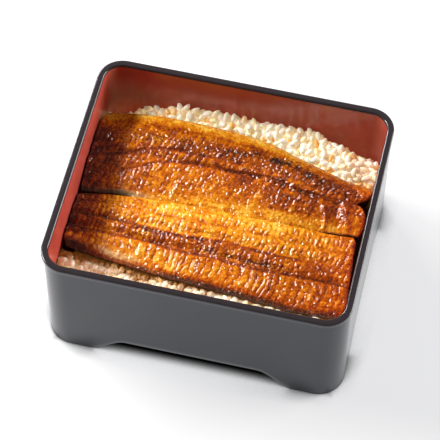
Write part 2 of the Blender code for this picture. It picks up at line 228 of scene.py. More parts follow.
class SmoothLine:
    """A smooth curve through (place, value) points that can be read at many places at once."""

    def __init__(self, points: Iterable[tuple[float, float]], place_unit: float = MM,
                 value_unit: float = MM) -> None:
        """Keep the points in metres.

        Args:
            points: Places and values along the curve.
            place_unit: Size of one unit of place, in metres, or 1 for shares.
            value_unit: Size of one unit of value, in metres, or 1 for shares.
        """
        table = np.array(list(points), dtype=float)
        self.places = table[:, 0] * place_unit
        self.values = table[:, 1] * value_unit
        index = np.arange(len(table))
        low, high = np.maximum(index - 1, 0), np.minimum(index + 1, len(table) - 1)
        self.slopes = (self.values[high] - self.values[low]) / (self.places[high] - self.places[low])

    def __call__(self, place: np.ndarray | float) -> np.ndarray:
        """Read the curve.

        Args:
            place: Where to read it.

        Returns:
            The values there.
        """
        place = np.clip(place, self.places[0], self.places[-1])
        index = np.clip(np.searchsorted(self.places, place, side="right") - 1, 0, len(self.places) - 2)
        run = self.places[index + 1] - self.places[index]
        t = (place - self.places[index]) / run
        return ((2 * t**3 - 3 * t**2 + 1) * self.values[index]
                + (t**3 - 2 * t**2 + t) * run * self.slopes[index]
                + (3 * t**2 - 2 * t**3) * self.values[index + 1]
                + (t**3 - t**2) * run * self.slopes[index + 1])


class Unevenness:
    """Smooth random relief over a plane, the same on each run."""

    TURN_PER_LAYER = 0.65
    SHIFT_PER_LAYER = (13.7, 7.3)

    def __init__(self, seed: int, size: int = 96) -> None:
        """Draw the lattice of values that the relief passes through.

        Args:
            seed: Seed of the draw.
            size: Number of values each way before the relief repeats.
        """
        self.lattice = np.random.default_rng(seed).uniform(-1.0, 1.0, (size, size))

    def read(self, x: np.ndarray, y: np.ndarray, spacing: float, layers: int = 1) -> np.ndarray:
        """Read the relief.

        Args:
            x: Places along X.
            y: Places along Y.
            spacing: Distance between its bumps, in metres.
            layers: Number of layers, each half as wide and half as high as the one before.

        Returns:
            Heights between about -1 and 1.
        """
        total, weight, reach = 0.0, 1.0, 0.0
        for layer in range(layers):
            turn = self.TURN_PER_LAYER * (layer + 1)
            shift_u, shift_v = (shift * layer for shift in self.SHIFT_PER_LAYER)
            u = (x * math.cos(turn) - y * math.sin(turn)) / spacing + shift_u
            v = (x * math.sin(turn) + y * math.cos(turn)) / spacing + shift_v
            i, j = np.floor(u).astype(int), np.floor(v).astype(int)
            s, t = smooth_step(u - i), smooth_step(v - j)
            size = len(self.lattice)
            i0, i1, j0, j1 = i % size, (i + 1) % size, j % size, (j + 1) % size
            low = self.lattice[i0, j0] * (1 - s) + self.lattice[i1, j0] * s
            high = self.lattice[i0, j1] * (1 - s) + self.lattice[i1, j1] * s
            total = total + weight * (low * (1 - t) + high * t)
            reach += weight
            weight, spacing = weight / 2, spacing / 2
        return total / reach


def mesh_piece(name: str, points: np.ndarray, faces: list, material: bpy.types.Material,
               marks: dict[str, np.ndarray] | None = None,
               sharp_degrees: float | None = None) -> bpy.types.Object:
    """Make a smooth mesh object from points and faces.

    Args:
        name: The piece's name.
        points: One row of X, Y and Z for each vertex.
        faces: Vertex numbers of each face, in order seen from outside.
        material: The piece's finish.
        marks: A value for each vertex, by attribute name, that the finish reads.
        sharp_degrees: Edges sharper than this stay crisp; none do if it is missing.

    Returns:
        The piece, in the scene at the origin.
    """
    mesh = bpy.data.meshes.new(name)
    mesh.from_pydata(points.tolist(), [], faces)
    mesh.materials.append(material)
    for mark, values in (marks or {}).items():
        mesh.attributes.new(mark, "FLOAT", "POINT").data.foreach_set("value", values.astype(np.float32))
    mesh.shade_smooth()
    if sharp_degrees is not None:
        mesh.set_sharp_from_angle(angle=math.radians(sharp_degrees))
    mesh.update()
    return add_object(name, mesh)


def grid_faces(rows: int, columns: int, around: bool = False) -> list:
    """List the faces between neighbouring rows of points.

    Args:
        rows: Number of rows.
        columns: Number of points in a row.
        around: Whether each row is a closed ring.

    Returns:
        Four vertex numbers for each face.
    """
    across = np.arange(columns if around else columns - 1)
    following = (across + 1) % columns
    found = []
    for row in range(rows - 1):
        near, far = row * columns, (row + 1) * columns
        found += np.stack([near + across, near + following, far + following, far + across], 1).tolist()
    return found


def border_of(rows: int, columns: int) -> np.ndarray:
    """Number a grid's border points, anticlockwise seen from above."""
    grid = np.arange(rows * columns).reshape(rows, columns)
    return np.concatenate([grid[:-1, 0], grid[-1, :-1], grid[:0:-1, -1], grid[0, :0:-1]])


def closed_faces(rows: int, columns: int, steps: int) -> list:
    """List the faces of a closed form: a gridded top, rings below its border and a flat underside.

    Args:
        rows: Number of rows of the top.
        columns: Number of points in a row.
        steps: Number of rings.

    Returns:
        Vertex numbers of each face, in order seen from outside.
    """
    faces = [face[::-1] for face in grid_faces(rows, columns)]
    upper = border_of(rows, columns)
    for step in range(steps):
        lower = rows * columns + step * len(upper) + np.arange(len(upper))
        faces += np.stack([upper, lower, np.roll(lower, -1), np.roll(upper, -1)], 1).tolist()
        upper = lower
    faces.append(upper[::-1].tolist())
    return faces


class Place(Enum):
    """The four straight sides of a rounded oblong, in the order in which a ring meets them."""

    RIGHT = 0
    BACK = 1
    LEFT = 2
    FRONT = 3


@dataclass(frozen=True)
class BlackLacquer:
    """Urethane lacquer sprayed black on a moulded box: deep, glossy, with a faint orange peel."""

    name: str = "black_urethane_lacquer"
    colour: str = "#19191F"
    worn_colour: str = "#222228"
    rim_colour: str = "#2C272A"
    rim_level: float = 66.5 * MM
    rim_blur: float = 0.1 * MM
    ior: float = 1.52
    shine_tint: tuple[float, ...] = (0.88, 0.93, 1.0, 1.0)
    roughness: tuple[float, float] = (0.11, 0.20)
    cloud_mm: float = 24.0
    dust_mm: float = 0.9
    peel_mm: float = 2.6
    peel_depth: float = 0.1 * MM

    def make(self) -> bpy.types.Material:
        """Build the finish.

        Returns:
            The material.
        """
        material, tree, place = new_material(self.name)
        cloud = add_noise(tree, place, self.cloud_mm, Detail=3.0)
        tint = add_ramp(tree, cloud, (0.35, self.colour), (0.75, self.worn_colour))
        height = add_node(tree, "ShaderNodeSeparateXYZ", inputs={0: place}).outputs["Z"]
        on_rim = add_range(tree, height, (self.rim_level - self.rim_blur, self.rim_level + self.rim_blur))
        tint = add_blend(tree, on_rim, tint, linear(self.rim_colour))
        dust = add_noise(tree, place, self.dust_mm, Detail=2.0)
        peel = add_noise(tree, place, self.peel_mm)
        return close_material(material, {
            "Base Color": tint, "IOR": self.ior, "Specular Tint": self.shine_tint,
            "Roughness": add_range(tree, dust, (0.3, 0.75), self.roughness),
            "Normal": add_bump(tree, peel, self.peel_depth, 0.05)})


@dataclass(frozen=True)
class RedLacquer:
    """Urethane lacquer sprayed vermilion inside the box: glossy, slightly uneven in depth."""

    name: str = "red_urethane_lacquer"
    colour: str = "#BC5144"
    deep_colour: str = "#AA463A"
    ior: float = 1.52
    roughness: float = 0.24
    cloud_mm: float = 17.0
    peel_mm: float = 2.2
    peel_depth: float = 0.1 * MM

    def make(self) -> bpy.types.Material:
        """Build the finish.

        Returns:
            The material.
        """
        material, tree, place = new_material(self.name)
        cloud = add_noise(tree, place, self.cloud_mm, Detail=4.0)
        tint = add_ramp(tree, cloud, (0.3, self.deep_colour), (0.7, self.colour))
        peel = add_noise(tree, place, self.peel_mm)
        return close_material(material, {
            "Base Color": tint, "IOR": self.ior, "Roughness": self.roughness,
            "Normal": add_bump(tree, peel, self.peel_depth, 0.06)})


@dataclass(frozen=True)
class CookedRice:
    """Steamed short-grain rice: moist, cloudy grains that pass light, brown where sauce ran, with a painted
    warm glow that lifts their shaded sides.
    """

    name: str = "steamed_short_grain_rice"
    colour: str = "#FFF8E8"
    deep_colour: str = "#FFEFCC"
    sauced_colour: str = "#E8AE52"
    # painted glow: a warm emission that stands in for light passing through the grains and fills their shade
    painted_glow_colour: str = "#FFEDCC"
    glow: float = 0.155
    stain_colour: str = "#94662A"
    stain_swing: float = 0.9
    # sauce and painted shade: near-black where the stain mark runs above 1, in the sunk gaps at the fillets'
    # ends
    soaked_and_shaded_colour: str = "#1E0A06"
    soaked_and_shaded_from: tuple[float, float] = (1.05, 1.5)
    ior: float = 1.42
    roughness: float = 0.40
    scatter_radius: tuple[float, float, float] = (1.0, 0.86, 0.6)
    scatter_scale: float = 1.6 * MM
    speck_mm: float = 1.1
    speck_depth: float = 0.12 * MM

    def make(self) -> bpy.types.Material:
        """Build the finish, which reads each grain's tone and the sauce on it, and paints near-black shade
        where the stain mark runs above 1.

        Returns:
            The material.
        """
        material, tree, place = new_material(self.name)
        tone, stain = add_mark(tree, "tone"), add_mark(tree, "stain")
        base = add_ramp(tree, tone, (0.0, self.sauced_colour), (0.16, self.deep_colour),
                        (0.5, self.colour))
        speck = add_noise(tree, place, self.speck_mm, Detail=3.0)
        patch = add_math(tree, "MULTIPLY_ADD", speck, self.stain_swing, -self.stain_swing / 2)
        soaked = add_math(tree, "ADD", stain, patch, clamp=True)
        share = add_math(tree, "MULTIPLY", soaked, stain, clamp=True)
        colour = add_blend(tree, share, base, linear(self.stain_colour))
        colour = add_blend(tree, add_range(tree, stain, self.soaked_and_shaded_from), colour,
                           linear(self.soaked_and_shaded_colour))
        # painted glow colour: the grain colour tinted warm, then made to emit
        painted_glow_tint = add_blend(tree, 1.0, colour, linear(self.painted_glow_colour), "MULTIPLY")
        return close_material(material, {
            "Base Color": colour, "IOR": self.ior, "Roughness": self.roughness,
            "Subsurface Weight": 1.0, "Subsurface Radius": self.scatter_radius,
            "Subsurface Scale": self.scatter_scale, "Emission Strength": self.glow,
            "Emission Color": painted_glow_tint, "Normal": add_bump(tree, speck, self.speck_depth, 0.25),
        }, {"subsurface_method": "RANDOM_WALK"})


@dataclass(frozen=True)
class GlazedEel:
    """Eel flesh grilled over charcoal and dipped in soy glaze: amber, wet, charred on its crests."""

    name: str
    grill_stops: tuple[tuple[float, str], ...] = (
        (0.0, "#EDBF50"), (0.2, "#DC951E"), (0.36, "#C26C0A"), (0.5, "#9F4904"), (0.64, "#7C3410"),
        (0.8, "#4A1E12"), (1.0, "#1E0B08"))
    char_colour: str = "#28160E"
    # skin colours; the pale end is silver skin lightened as a painted reflection
    skin_and_sheen_stops: tuple[tuple[float, str], ...] = ((0.0, "#EED9AE"), (0.45, "#6F6447"), (0.8, "#24231C"))
    grain_mm: float = 0.9
    grain_swing: float = 0.7
    blotch_mm: float = 3.2
    blotch_swing: float = 0.5
    char_swing: float = 1.1
    char_from: tuple[float, float] = (0.85, 1.25)
    ior: float = 1.45
    specular: float = 0.05
    roughness: tuple[float, float] = (0.38, 0.58)
    scatter: float = 0.10
    scatter_radius: tuple[float, float, float] = (1.0, 0.4, 0.12)
    scatter_scale: float = 1.0 * MM
    glaze: float = 0.9
    glaze_ior: float = 1.5
    glaze_roughness: float = 0.14
    bubble_mm: float = 1.7
    bubble_depth: float = 0.75 * MM

    def make(self) -> bpy.types.Material:
        """Build the finish, which reads the fillet's tone, char and skin.

        Returns:
            The material.
        """
        material, tree, place = new_material(self.name)
        tone, char, skin = (add_mark(tree, mark) for mark in ("tone", "char", "skin"))
        grain = add_noise(tree, place, self.grain_mm, Detail=4.0, Roughness=0.6)
        blotch = add_noise(tree, place, self.blotch_mm, Detail=3.0)
        mixed = add_math(tree, "MULTIPLY_ADD", grain, self.grain_swing, tone)
        moved = add_math(tree, "MULTIPLY_ADD", blotch, self.blotch_swing, mixed)
        middle = (self.grain_swing + self.blotch_swing) / 2
        grilled = add_math(tree, "SUBTRACT", moved, middle, clamp=True)
        flesh = add_ramp(tree, grilled, *self.grill_stops)
        burnt = add_math(tree, "MULTIPLY_ADD", grain, self.char_swing, char)
        scorched = add_range(tree, burnt, self.char_from, kind="SMOOTHSTEP")
        browned = add_blend(tree, scorched, flesh, linear(self.char_colour))
        skin_and_sheen = add_ramp(tree, tone, *self.skin_and_sheen_stops)
        bubble = add_noise(tree, place, self.bubble_mm, Detail=1.0)
        relief = add_bump(tree, bubble, self.bubble_depth, 1.0)
        return close_material(material, {
            "Base Color": add_blend(tree, skin, browned, skin_and_sheen), "IOR": self.ior,
            "Specular IOR Level": self.specular,
            "Roughness": add_range(tree, scorched, target=self.roughness),
            "Subsurface Weight": self.scatter, "Subsurface Radius": self.scatter_radius,
            "Subsurface Scale": self.scatter_scale, "Coat Weight": self.glaze,
            "Coat Roughness": self.glaze_roughness, "Coat IOR": self.glaze_ior, "Normal": relief,
            "Coat Normal": relief}, {"subsurface_method": "RANDOM_WALK"})


@dataclass
class LacquerBox:
    """The upright box: a black shell and a red lining, arched at the foot on all four sides."""

    low: Vector
    high: Vector
    rim_overhang: float = 0.7 * MM
    rim_height: float = 2.6 * MM
    rim_corner: float = 13.0 * MM
    wall_corner: float = 13.5 * MM
    wall_thickness: float = 2.8 * MM
    inner_corner: float = 9.5 * MM
    rim_bevel: float = 0.9 * MM
    black_lip: float = 1.2 * MM
    rim_rounding: float = 0.6 * MM
    foot_rounding: float = 0.5 * MM
    floor_underside: float = 13.0 * MM
    floor_thickness: float = 3.0 * MM
    floor_fillet: float = 5.0 * MM
    arch_height: float = 11.5 * MM
    arch_ease: float = 19.0 * MM
    foot_length: float = 24.0 * MM
    lining_gap: float = 0.05 * MM
    lining_thickness: float = 0.5 * MM
    side_points: int = 52
    corner_points: int = 14
    hidden_share: float = 0.9
    crisp_degrees: float = 40.0

    def __post_init__(self) -> None:
        """Work out the half sizes from the node's box."""
        self.half_length = (self.high.x - self.low.x) / 2
        self.half_depth = (self.high.y - self.low.y) / 2
        self.height = self.high.z
        self.inner_half_length = self.half_length - self.rim_overhang - self.wall_thickness
        self.inner_half_depth = self.half_depth - self.rim_overhang - self.wall_thickness
        self.floor_level = self.floor_underside + self.floor_thickness
        self.hidden_reach = self.inner_half_depth * self.hidden_share

    def ring(self, half_length: float, half_depth: float, corner: float,
             level: float | np.ndarray) -> np.ndarray:
        """Draw one rounded oblong, anticlockwise seen from above.

        Args:
            half_length: Half its size along X.
            half_depth: Half its size along Y.
            corner: Radius of its corners.
            level: Its height, or one for each point.

        Returns:
            One row for each point.
        """
        corner = max(corner, 1e-5)
        shares = np.arange(self.side_points) / self.side_points
        bends = np.arange(self.corner_points) / self.corner_points * math.pi / 2
        straight_x, straight_y = half_length - corner, half_depth - corner
        runs = []
        for side in Place:
            turn = side.value * math.pi / 2
            reach, run = ((half_length, straight_y), (half_depth, straight_x))[side.value % 2]
            local = np.stack([np.full(self.side_points, reach), -run + 2 * run * shares], 1)
            bend = np.stack([reach - corner + corner * np.cos(bends), run + corner * np.sin(bends)], 1)
            both = np.concatenate([local, bend])
            rotate = np.array([[math.cos(turn), math.sin(turn)], [-math.sin(turn), math.cos(turn)]])
            runs.append(both @ rotate)
        flat = np.concatenate(runs)
        return np.column_stack([flat, np.broadcast_to(level, len(flat))])

    def foot_line(self, ring: np.ndarray) -> np.ndarray:
        """Work out how high the foot's edge runs at each point of a ring.

        Args:
            ring: Points of the ring.

        Returns:
            Heights of the arches there.
        """
        steepness = self.half_length - self.half_depth
        on_long_side = np.abs(ring[:, 0]) - steepness < np.abs(ring[:, 1])
        half_span = np.where(on_long_side, self.half_length, self.half_depth) - self.foot_length
        along = np.where(on_long_side, np.abs(ring[:, 0]), np.abs(ring[:, 1]))
        share = np.clip((half_span - along) / self.arch_ease, 0.0, 1.0)
        return self.arch_height * (1 - np.cos(math.pi * share)) / 2

    def outer_wall(self, inset: float, lift: float | np.ndarray) -> np.ndarray:
        """Draw a ring of the outer wall, moved inwards by an inset, at a height."""
        size = self.rim_overhang + inset
        return self.ring(self.half_length - size, self.half_depth - size, self.wall_corner - inset, lift)

    def inner_wall(self, outset: float, lift: float | np.ndarray) -> np.ndarray:
        """Draw a ring of the inner wall, moved outwards by an outset, at a height."""
        return self.ring(self.inner_half_length + outset, self.inner_half_depth + outset,
                         self.inner_corner + outset, lift)

    def rim(self, inset: float, lift: float) -> np.ndarray:
        """Draw a ring of the rim band, moved inwards by an inset, at a height."""
        return self.ring(self.half_length - inset, self.half_depth - inset, self.rim_corner - inset, lift)

    def loft(self, name: str, rings: list[np.ndarray], material: bpy.types.Material) -> bpy.types.Object:
        """Join rings into one closed form, shut at both ends with shrinking rings.

        Args:
            name: The piece's name.
            rings: Rings in order, with the outside on their right-hand side.
            material: The piece's finish.

        Returns:
            The piece.
        """
        columns = len(rings[0])
        points = np.concatenate(rings)
        faces = grid_faces(len(rings), columns, around=True)
        last = len(points) - columns
        for base, ring in ((0, rings[0]), (last, rings[-1])):
            centre = len(points)
            points = np.concatenate([points, ring.mean(axis=0)[None, :]])
            for column in range(columns):
                near, far = base + column, base + (column + 1) % columns
                faces.append([near, far, centre] if base else [far, near, centre])
        return mesh_piece(name, points, faces, material, sharp_degrees=self.crisp_degrees)

    def build_shell(self, material: bpy.types.Material) -> bpy.types.Object:
        """Build the black shell from the recess under its floor to its hidden inner face.

        Args:
            material: The black finish.

        Returns:
            The shell.
        """
        foot = self.foot_line(self.outer_wall(0.0, 0.0))
        edge, under = self.foot_rounding, self.floor_underside
        rim_underside = self.height - self.rim_height
        rings = [self.inner_wall(-share * self.hidden_reach, under) for share in (1.0, 0.5, 0.1, 0.0)]
        rings += [self.inner_wall(0.0, under + (foot + edge - under) * share) for share in (0.35, 0.7, 1.0)]
        rings += [self.inner_wall(edge * 0.3, foot + edge * 0.3), self.inner_wall(edge, foot),
                  self.outer_wall(edge, foot), self.outer_wall(edge * 0.3, foot + edge * 0.3)]
        rings += [self.outer_wall(0.0, foot + edge + (rim_underside - foot - edge) * share)
                  for share in (0.0, 0.05, 0.15, 0.3, 0.5, 0.7, 0.85, 0.97, 1.0)]
        rings += [self.rim(inset * MM, rim_underside + lift * MM)
                  for inset, lift in ((0.25, 0.0), (0.08, 0.08), (0.0, 0.3))]
        lip = self.rim_rounding
        for angle in np.radians((0, 30, 60, 90)):
            rings.append(self.rim(lip * (1 - math.cos(angle)), self.height - lip * (1 - math.sin(angle))))
        back = self.lining_thickness + self.lining_gap
        rings.append(self.inner_wall(self.rim_bevel + back, self.height))
        for angle in np.radians((0, 20, 40, 60, 80, 90)):
            rings.append(self.inner_wall(self.rim_bevel * (1 - math.sin(angle)),
                                         self.height - self.rim_bevel * (1 - math.cos(angle))))
        lip_level, hidden_level = self.height - self.black_lip, self.floor_level - self.lining_thickness
        rings += [self.inner_wall(0.0, lip_level), self.inner_wall(back, lip_level - self.lining_gap),
                  self.inner_wall(back, hidden_level), self.inner_wall(-self.hidden_reach, hidden_level)]
        return self.loft("box_black_shell", rings, material)

    def build_lining(self, material: bpy.types.Material) -> bpy.types.Object:
        """Build the red lining, from its hidden back, over its top edge, to the floor.

        Args:
            material: The red finish.

        Returns:
            The lining.
        """
        back, gap = self.lining_thickness, self.lining_gap
        top, bottom = self.height - self.black_lip - 2 * gap, self.floor_level + self.floor_fillet
        hidden_level = self.floor_level - back + gap
        rings = [self.inner_wall(-self.hidden_reach, hidden_level), self.inner_wall(back, hidden_level),
                 self.inner_wall(back, top)]
        rings += [self.inner_wall(0.0, top + (bottom - top) * share)
                  for share in (0.0, 0.04, 0.2, 0.45, 0.7, 0.9, 1.0)]
        for angle in np.radians((22, 45, 67, 90)):
            rings.append(self.inner_wall(-self.floor_fillet * (1 - math.cos(angle)),
                                         bottom - self.floor_fillet * math.sin(angle)))
        rings.append(self.inner_wall(-self.hidden_reach, self.floor_level))
        return self.loft("box_red_lining", rings, material)

    def build(self, black: bpy.types.Material, red: bpy.types.Material) -> list[bpy.types.Object]:
        """Build both lacquered pieces and let them stand for the box's solid.

        Args:
            black: The outer finish.
            red: The inner finish.

        Returns:
            The shell and the lining.
        """
        shell, lining = self.build_shell(black), self.build_lining(red)
        for piece, slot in ((shell, "black_lacquer"), (lining, "red_lacquer")):
            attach(piece, BODY)
            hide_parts("lacquer_box")
        return [shell, lining]


@dataclass(frozen=True)
class MuscleRow:
    """One row of muscle segments along a fillet, between two lines.

    Ripple and drift are shares of the pitch, each with a size.  Patches and beads are a middle, a
    swing and a size.
    """

    lower: Line
    upper: Line
    height: float
    pitch: float
    slant: float
    seed: int
    bow: float = 0.25
    tone_swing: float = 0.12
    segment_swing: float = 0.16
    crest_power: float = 2.2
    edge_power: float = 0.6
    strengths: tuple[float, float] = (0.5, 0.7)
    ripple: tuple[float, float] = (0.22, 3.2 * MM)
    drift: tuple[float, float] = (0.9, 17 * MM)
    patches: tuple[float, float, float] = (0.72, 0.5, 11 * MM)
    beads: tuple[float, float, float] = (0.8, 0.75, 2.3 * MM)
    draws: int = 512


@dataclass(frozen=True)
class Furrow:
    """A narrow furrow between two rows of muscle."""

    path: Line
    depth: float
    width: float
    first: float = -80 * MM
    last: float = 80 * MM
    fade: float = 7 * MM
    tone: float = 0.25
    wander: tuple[float, float] = (0.35 * MM, 6 * MM)
    patches: tuple[float, float, float] = (0.8, 0.35, 5 * MM)


@dataclass(frozen=True)
class Fold:
    """A short crease or swelling across the fillet near its end, all in millimetres."""

    start: tuple[float, float]
    end: tuple[float, float]
    height: float
    width: float


@dataclass(frozen=True)
class Scorch:
    """A band where the charcoal has blackened the crests."""

    path: Line
    width: float
    strength: Line


@dataclass(frozen=True)
class SkinPatch:
    """A strip where the skin or the fat under it shows beside the flesh."""

    path: Line
    width: float
    strength: Line
    tone: Line


@dataclass
class EelFillet:
    """One grilled fillet: its outline, its cross-section, its rows and its grilled tones."""

    name: str
    node: str
    front: Line
    back: Line
    left_end: Line
    right_end: Line
    section: Line
    rows: list[MuscleRow]
    furrows: list[Furrow]
    scorches: list[Scorch]
    tones: list[tuple[Line, Line]]
    folds: list[Fold] = field(default_factory=list)
    skins: list[SkinPatch] = field(default_factory=list)
    front_roundness: Line = np.ones_like
    back_roundness: Line = np.ones_like
    roughness_height: float = 0.30 * MM
    row_height: float = 1.6
    seed: int = 5
    underside: float = 41.3 * MM
    undercut: float = 0.9 * MM
    edge_radius: float = 1.3 * MM
    edge_drop: float = 1.7 * MM
    edge_seed: int = 40
    edge_wobble: tuple[float, float] = (0.25, 4.0 * MM)
    edge_start_degrees: float = 20.0
    edge_steps: tuple[tuple[float, float], ...] = ((35, 0.0), (50, 0.1), (65, 0.35), (80, 0.7), (92, 0.9))
    wave_height: float = 0.5 * MM
    wave_size: float = 28.0 * MM
    fat_tones: tuple[float, float] = (0.22, 0.42)
    char_patches: tuple[float, float] = (0.5, 4.5 * MM)
    skin_patches: tuple[float, float] = (0.35, 3.0 * MM)
    tone_clouds: tuple[float, float] = (0.07, 7.0 * MM)
    fat_streaks: tuple[float, float] = (0.12, 1.1 * MM)
    bubble_sizes: tuple[float, float] = (1.7 * MM, 0.9 * MM)
    bubble_tone: float = 0.10
    cells_along: int = 430
    cells_across: int = 176

    def width_share(self, x: np.ndarray, y: np.ndarray) -> np.ndarray:
        """Return the share of the width, from front edge to back edge, at each point."""
        front, back = self.front(x), self.back(x)
        return np.clip((y - front) / (back - front), 0.0, 1.0)

    def plan(self) -> tuple[np.ndarray, np.ndarray]:
        """Spread the top's points over the outline, inside its rounded edge.

        Returns:
            X and Y of each point, one row for each place along the fillet.
        """
        along = np.linspace(0.0, 1.0, self.cells_along + 1)[:, None]
        across = np.linspace(0.0, 1.0, self.cells_across + 1)[None, :]
        left = self.left_end(across) + self.edge_radius
        right = self.right_end(across) - self.edge_radius
        x = left + (right - left) * along
        front = self.front(x) + self.edge_radius * self.front_roundness(x)
        back = self.back(x) - self.edge_radius * self.back_roundness(x)
        return x, front + (back - front) * across

    def row_relief(self, row: MuscleRow, x: np.ndarray, y: np.ndarray) -> tuple[np.ndarray, np.ndarray]:
        """Raise one row's muscle segments.

        Args:
            row: The row.
            x: Places along the box.
            y: Places across it.

        Returns:
            Added heights, and added tones that leave crests paler than the gaps between them.
        """
        lower, upper = row.lower(x), row.upper(x)
        share = np.clip((y - lower) / np.maximum(upper - lower, 0.5 * MM), 0.0, 1.0)
        rough = Unevenness(row.seed)
        (ripple, ripple_size), (drift, drift_size) = row.ripple, row.drift
        bent = (x - row.slant * (y - lower) + row.bow * row.pitch * (2 * share - 1) ** 2
                + ripple * row.pitch * rough.read(x, y, ripple_size, 2)
                + drift * row.pitch * rough.read(x, x * 0, drift_size))
        phase = bent / row.pitch
        number = np.floor(phase).astype(int)
        profile = 1 - np.abs(2 * (phase - number) - 1) ** row.crest_power
        strengths, shades = np.random.default_rng(row.seed).uniform(size=(2, row.draws))
        weakest, span = row.strengths
        strength = weakest + span * strengths[number % row.draws]
        envelope = np.clip(4 * share * (1 - share), 0.0, 1.0) ** row.edge_power
        (middle, swing, size), (bead_middle, bead_swing, bead_size) = row.patches, row.beads
        patchy = middle + swing * rough.read(x, y, size)
        beads = bead_middle + bead_swing * rough.read(y, x, bead_size)
        height = self.row_height * row.height * profile * strength * envelope * patchy * beads
        shade = (shades[number % row.draws] - 0.5) * row.segment_swing
        return height, ((0.5 - profile) * row.tone_swing + shade) * envelope

    def furrow_relief(self, furrow: Furrow, x: np.ndarray, y: np.ndarray) -> tuple[np.ndarray, np.ndarray]:
        """Sink one furrow.

        Args:
            furrow: The furrow.
            x: Places along the box.
            y: Places across it.

        Returns:
            Its depths as negative heights, and the darker tone that it has.
        """
        rough = Unevenness(int(furrow.depth * 1e7) + self.seed)
        (wander, wander_size), (middle, swing, size) = furrow.wander, furrow.patches
        off = (y - furrow.path(x) - wander * rough.read(x, x * 0, wander_size, 2)) / furrow.width
        ends = smooth_step((x - furrow.first) / furrow.fade) * smooth_step((furrow.last - x) / furrow.fade)
        uneven = middle + swing * rough.read(x, y, size)
        return -furrow.depth * bell(off) * ends * uneven, furrow.tone * bell(off / 1.5) * ends * uneven

    def grilled_tone(self, x: np.ndarray, y: np.ndarray) -> np.ndarray:
        """Blend the grilled tones from line to line across the fillet.

        Args:
            x: Places along the box.
            y: Places across it.

        Returns:
            Tones from 0, golden fat, to 1, almost black.
        """
        lines = [(line(x), tone(x)) for line, tone in self.tones]
        blended = lines[0][1] + 0 * y
        for (near, near_tone), (far, far_tone) in zip(lines, lines[1:]):
            share = smooth_step((y - near) / np.maximum(far - near, 0.3 * MM))
            blended = np.where(y > near, near_tone + (far_tone - near_tone) * share, blended)
        return blended

    def fold_relief(self, fold: Fold, x: np.ndarray, y: np.ndarray) -> np.ndarray:
        """Raise or sink one fold: a ridge along the line between its ends.

        Args:
            fold: The fold.
            x: Places along the box.
            y: Places across it.

        Returns:
            Added heights.
        """
        x0, y0, x1, y1, height, width = (
            value * MM for value in (*fold.start, *fold.end, fold.height, fold.width))
        run_x, run_y = x1 - x0, y1 - y0
        length = math.hypot(run_x, run_y)
        along = np.clip(((x - x0) * run_x + (y - y0) * run_y) / length ** 2, 0.0, 1.0)
        off = np.hypot(x - x0 - along * run_x, y - y0 - along * run_y) / width
        return height * bell(off) * (0.35 + 0.65 * np.sin(math.pi * np.clip(along, 0.05, 0.95)))

    def top(self, x: np.ndarray, y: np.ndarray) -> tuple[np.ndarray, dict[str, np.ndarray]]:
        """Work out the glazed top.

        Args:
            x: Places along the box.
            y: Places across it.

        Returns:
            Heights, and the marks that the finish reads.
        """
        level = self.section(self.width_share(x, y))
        flat = (grid.ravel() / self.wave_size for grid in (x, y, level))
        wave = np.array([noise.noise(Vector(point)) for point in zip(*flat)]).reshape(x.shape)
        level = level + self.wave_height * wave
        tone = self.grilled_tone(x, y)
        for relief, parts in ((self.row_relief, self.rows), (self.furrow_relief, self.furrows)):
            for part in parts:
                height, shade = relief(part, x, y)
                level, tone = level + height, tone + shade
        for fold in self.folds:
            level = level + self.fold_relief(fold, x, y)
        rough = Unevenness(self.seed)
        patchy = [swing * rough.read(x, y, size, 2)
                  for swing, size in (self.char_patches, self.skin_patches, self.tone_clouds)]
        char = np.zeros_like(level)
        for scorch in self.scorches:
            char += bell((y - scorch.path(x)) / scorch.width) * scorch.strength(x) * (1 + patchy[0])
        coarse, fine = self.bubble_sizes
        bubbles = rough.read(x, y, coarse, 2) + 0.5 * rough.read(y, x, fine)
        fattest, leanest = self.fat_tones
        fat = np.clip((leanest - tone) / (leanest - fattest), 0.0, 1.0)
        blistered = 0.7 - 0.35 * fat + 0.9 * np.clip(char, 0.0, 1.0)
        level = level + self.roughness_height * bubbles * blistered
        streaked, streak_size = self.fat_streaks
        streaks = streaked * rough.read(x / 5, y, streak_size, 2)
        tone = tone + patchy[2] - self.bubble_tone * bubbles + streaks * fat
        skin = np.zeros_like(level)
        for patch in self.skins:
            shown = bell((y - patch.path(x)) / patch.width) * patch.strength(x) * (1 + patchy[1])
            shown = np.clip(shown, 0, 1)
            tone = tone + (patch.tone(x) - tone) * shown
            skin = np.maximum(skin, shown)
        return level, {"tone": tone, "char": char, "skin": skin}

